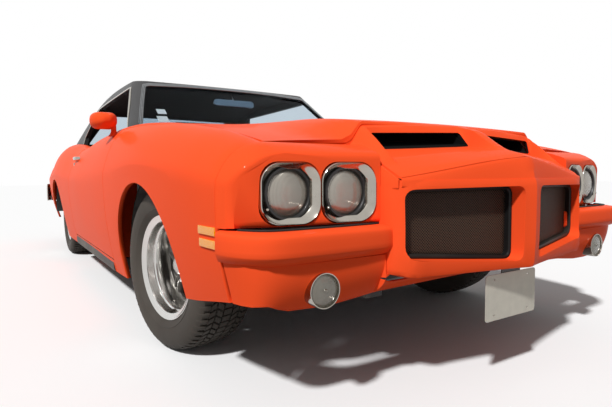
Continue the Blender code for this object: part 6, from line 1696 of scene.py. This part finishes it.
# Windscreen stickers. Two small blank paper squares stuck inside the glass at its corner.
paper = finish("sticker_paper", (0.8, 0.8, 0.78), 0.7, vary=0.06, size=80)
stickers = []
for x, z, width, height in ((-0.56, 1.075, 0.052, 0.034), (-0.572, 1.022, 0.06, 0.04)):
    corners = []
    for dx, dz in ((-0.5, -0.5), (0.5, -0.5), (0.5, 0.5), (-0.5, 0.5)):
        px, pz = x + dx * width, z + dz * height
        hit = ROOF_TREE.ray_cast(Vector((px, -1.6, pz)), Vector((0, 1, 0)))
        corners.append(Vector((px, hit[0].y + 0.0165, pz)))
    stickers.append(loft([corners, [corner + Vector((0, 0.0006, 0)) for corner in corners]]))
piece("windscreen_stickers", joined(stickers), paper, "body", 34)


# Seats. Two bucket seats and a rear bench: steel frames and foam, covered in black pleated vinyl
# with sewn channels. Each pad is inflated as cloth and then creased.
seat_vinyl = finish("seat_vinyl", (0.02, 0.019, 0.0185), 0.44, vary=0.22, size=18, grain=0.5,
    grain_size=600, cells=True, coat=0.1)


def pad_block(size, bow, shrink):
    """A pad's start shape: a box with rounded corners and bowed faces."""
    mesh = bpy.data.meshes.new("pad")
    work = bmesh.new()
    bmesh.ops.create_cube(work, size=2.0)
    bmesh.ops.subdivide_edges(work, edges=work.edges, cuts=11, use_grid_fill=True)
    half = [s / 2 - shrink for s in size]
    radius = min(half) * 0.62
    for vertex in work.verts:
        p = [vertex.co[n] * half[n] for n in range(3)]
        core = [max(-(half[n] - radius), min(half[n] - radius, p[n])) for n in range(3)]
        out = Vector([p[n] - core[n] for n in range(3)])
        if out.length > 1e-9:
            out = out.normalized() * radius
        p = [core[n] + out[n] for n in range(3)]
        u, v = p[0] / half[0], p[1] / half[1]
        p[2] += bow * (1 - u * u) * (1 - v * v) * (1 if p[2] > 0 else 0.0) - bow * 0.4
        vertex.co = Vector(p)
    work.to_mesh(mesh)
    work.free()
    return mesh


def inflated(mesh, voxel, cap):
    """The mesh puffed up as cloth under pressure, each point held within cap of its start."""
    holder = in_scene("pad_work", mesh)
    remesh = holder.modifiers.new("remesh", "REMESH")
    remesh.mode = "VOXEL"
    remesh.voxel_size = voxel
    even = evaluated(holder)
    pad = in_scene("pad_cloth", even)
    start = [vertex.co.copy() for vertex in even.vertices]
    cloth = pad.modifiers.new("cloth", "CLOTH")
    for key, value in (("quality", 4), ("mass", 0.4), ("tension_stiffness", 18),
            ("compression_stiffness", 18), ("shear_stiffness", 8), ("bending_stiffness", 1.5),
            ("use_pressure", True), ("uniform_pressure_force", 4.0)):
        setattr(cloth.settings, key, value)
    cloth.settings.effector_weights.gravity = 0.0
    cloth.point_cache.frame_start = 1
    cloth.point_cache.frame_end = 20
    for frame_number in range(1, 21):
        bpy.context.scene.frame_set(frame_number)
    puffed = evaluated(pad)
    bpy.context.scene.frame_set(1)
    for vertex, first in zip(puffed.vertices, start):
        move = vertex.co - first
        if move.length > cap:
            vertex.co = first + move.normalized() * cap
    return puffed


def channelled(mesh, places, axis, depth, width):
    """Sewn channels pressed into the upper face at the places along one axis."""
    for vertex in mesh.vertices:
        if vertex.co.z <= 0:
            continue
        for place in places:
            away = (vertex.co[axis] - place) / width
            vertex.co.z -= depth * 2.718 ** (-away * away)
    return mesh


def pad(size, bow, shrink, channels, side_places, cap=0.012):
    """One finished pad lying flat round its centre: puffed, then sewn."""
    mesh = inflated(pad_block(size, bow, shrink), 0.006, cap)
    limits = [s / 2 for s in size]
    for vertex in mesh.vertices:
        for n in range(2):
            vertex.co[n] = max(-limits[n], min(limits[n], vertex.co[n]))
        vertex.co.z = max(-limits[2], min(limits[2] + bow * 0.6, vertex.co.z))
    channelled(mesh, channels, 0, 0.0075, 0.006)
    channelled(mesh, side_places, 1, 0.0075, 0.006)
    return mesh


def seat_piece(name, mesh, place, replaces=()):
    copy = outward(placed(mesh.copy(), place), 0)
    made = piece(name, copy, seat_vinyl, "body", 60, replaces)


CUSHION_SIZE = (0.5, 0.52, 0.15)
BACK_SIZE = (0.49, 0.56, 0.12)
pleats = (-0.165, -0.11, -0.055, 0.0, 0.055, 0.11, 0.165)
cushion = pad(CUSHION_SIZE, 0.02, 0.008, pleats, (-0.2, 0.205))
backrest = pad(BACK_SIZE, 0.018, 0.008, pleats, (-0.225, 0.17))
for label, side in SIDES:
    x = side * 0.46
    place = slide(x, 0.105, 0.452) @ spin(-3, "X")
    seat_piece("seat_cushion_" + label, cushion, place, replaces=("front_seat_" + label,))
    place = slide(x, 0.452, 0.69) @ spin(71, "X")
    seat_piece("seat_back_" + label, backrest, place)
    shell_rings = []
    for y, z, half in ((-0.12, 0.2365, 0.235), (-0.15, 0.3, 0.245), (-0.15, 0.365, 0.247),
            (0.3, 0.365, 0.247), (0.345, 0.34, 0.245), (0.32, 0.2365, 0.235)):
        shell_rings.append((y, z, half))
    base = loft([[(x + share * half, y, z) for y, z, half in shell_rings] for share in (-1.0, -0.9, 0.9,
        1.0)])
    softened(piece("seat_base_" + label, base, card_vinyl, "body", 34), 0.012, 3, 30)
    shell_back = []
    for share in (-1.0, -0.93, -0.6, 0.0, 0.6, 0.93, 1.0):
        soft = 0.016 * abs(share) ** 6
        shell_back.append([(x + share * 0.238, y, z) for y,
            z in ((0.385 + soft, 0.42), (0.41 - soft, 0.405), (0.468 - soft, 0.56),
            (0.552 - soft, 0.85 - soft), (0.535, 0.905 - soft), (0.5 + soft, 0.89 - soft))])
    made = piece("seat_shell_" + label, loft(shell_back), card_vinyl, "body", 34)
    softened(made, 0.01, 3, 30)
bench = pad((0.54, 0.48, 0.15), 0.018, 0.008, pleats, (-0.19, 0.19))
bench_back = pad((0.54, 0.4, 0.11), 0.016, 0.008, pleats, (-0.15, 0.15))
for label, side in SIDES:
    place = slide(side * 0.283, 0.88, 0.482) @ spin(-4, "X")
    seat_piece("bench_cushion_" + label, bench, place, replaces=("rear_seat",) if side > 0 else ())
    place = slide(side * 0.283, 1.172, 0.7) @ spin(68, "X")
    seat_piece("bench_back_" + label, bench_back, place)
shelf_profile = ((1.5, 0.9055), (1.5, 0.9245), (1.3, 0.9245), (1.262, 0.905), (1.275, 0.88), (1.3, 0.89))
shelf = across_car(shelf_profile, (-0.565, 0.0, 0.565))
piece("parcel_shelf", shelf, headliner, "body", 34)
support_profile = ((1.14, 0.46), (1.262, 0.9), (1.3, 0.89), (1.23, 0.48), (1.15, 0.33), (0.72, 0.33),
    (0.7, 0.4), (1.1, 0.42))
support = across_car(support_profile, (-0.56, 0.56))
piece("bench_frame", support, card_vinyl, "body", 34)
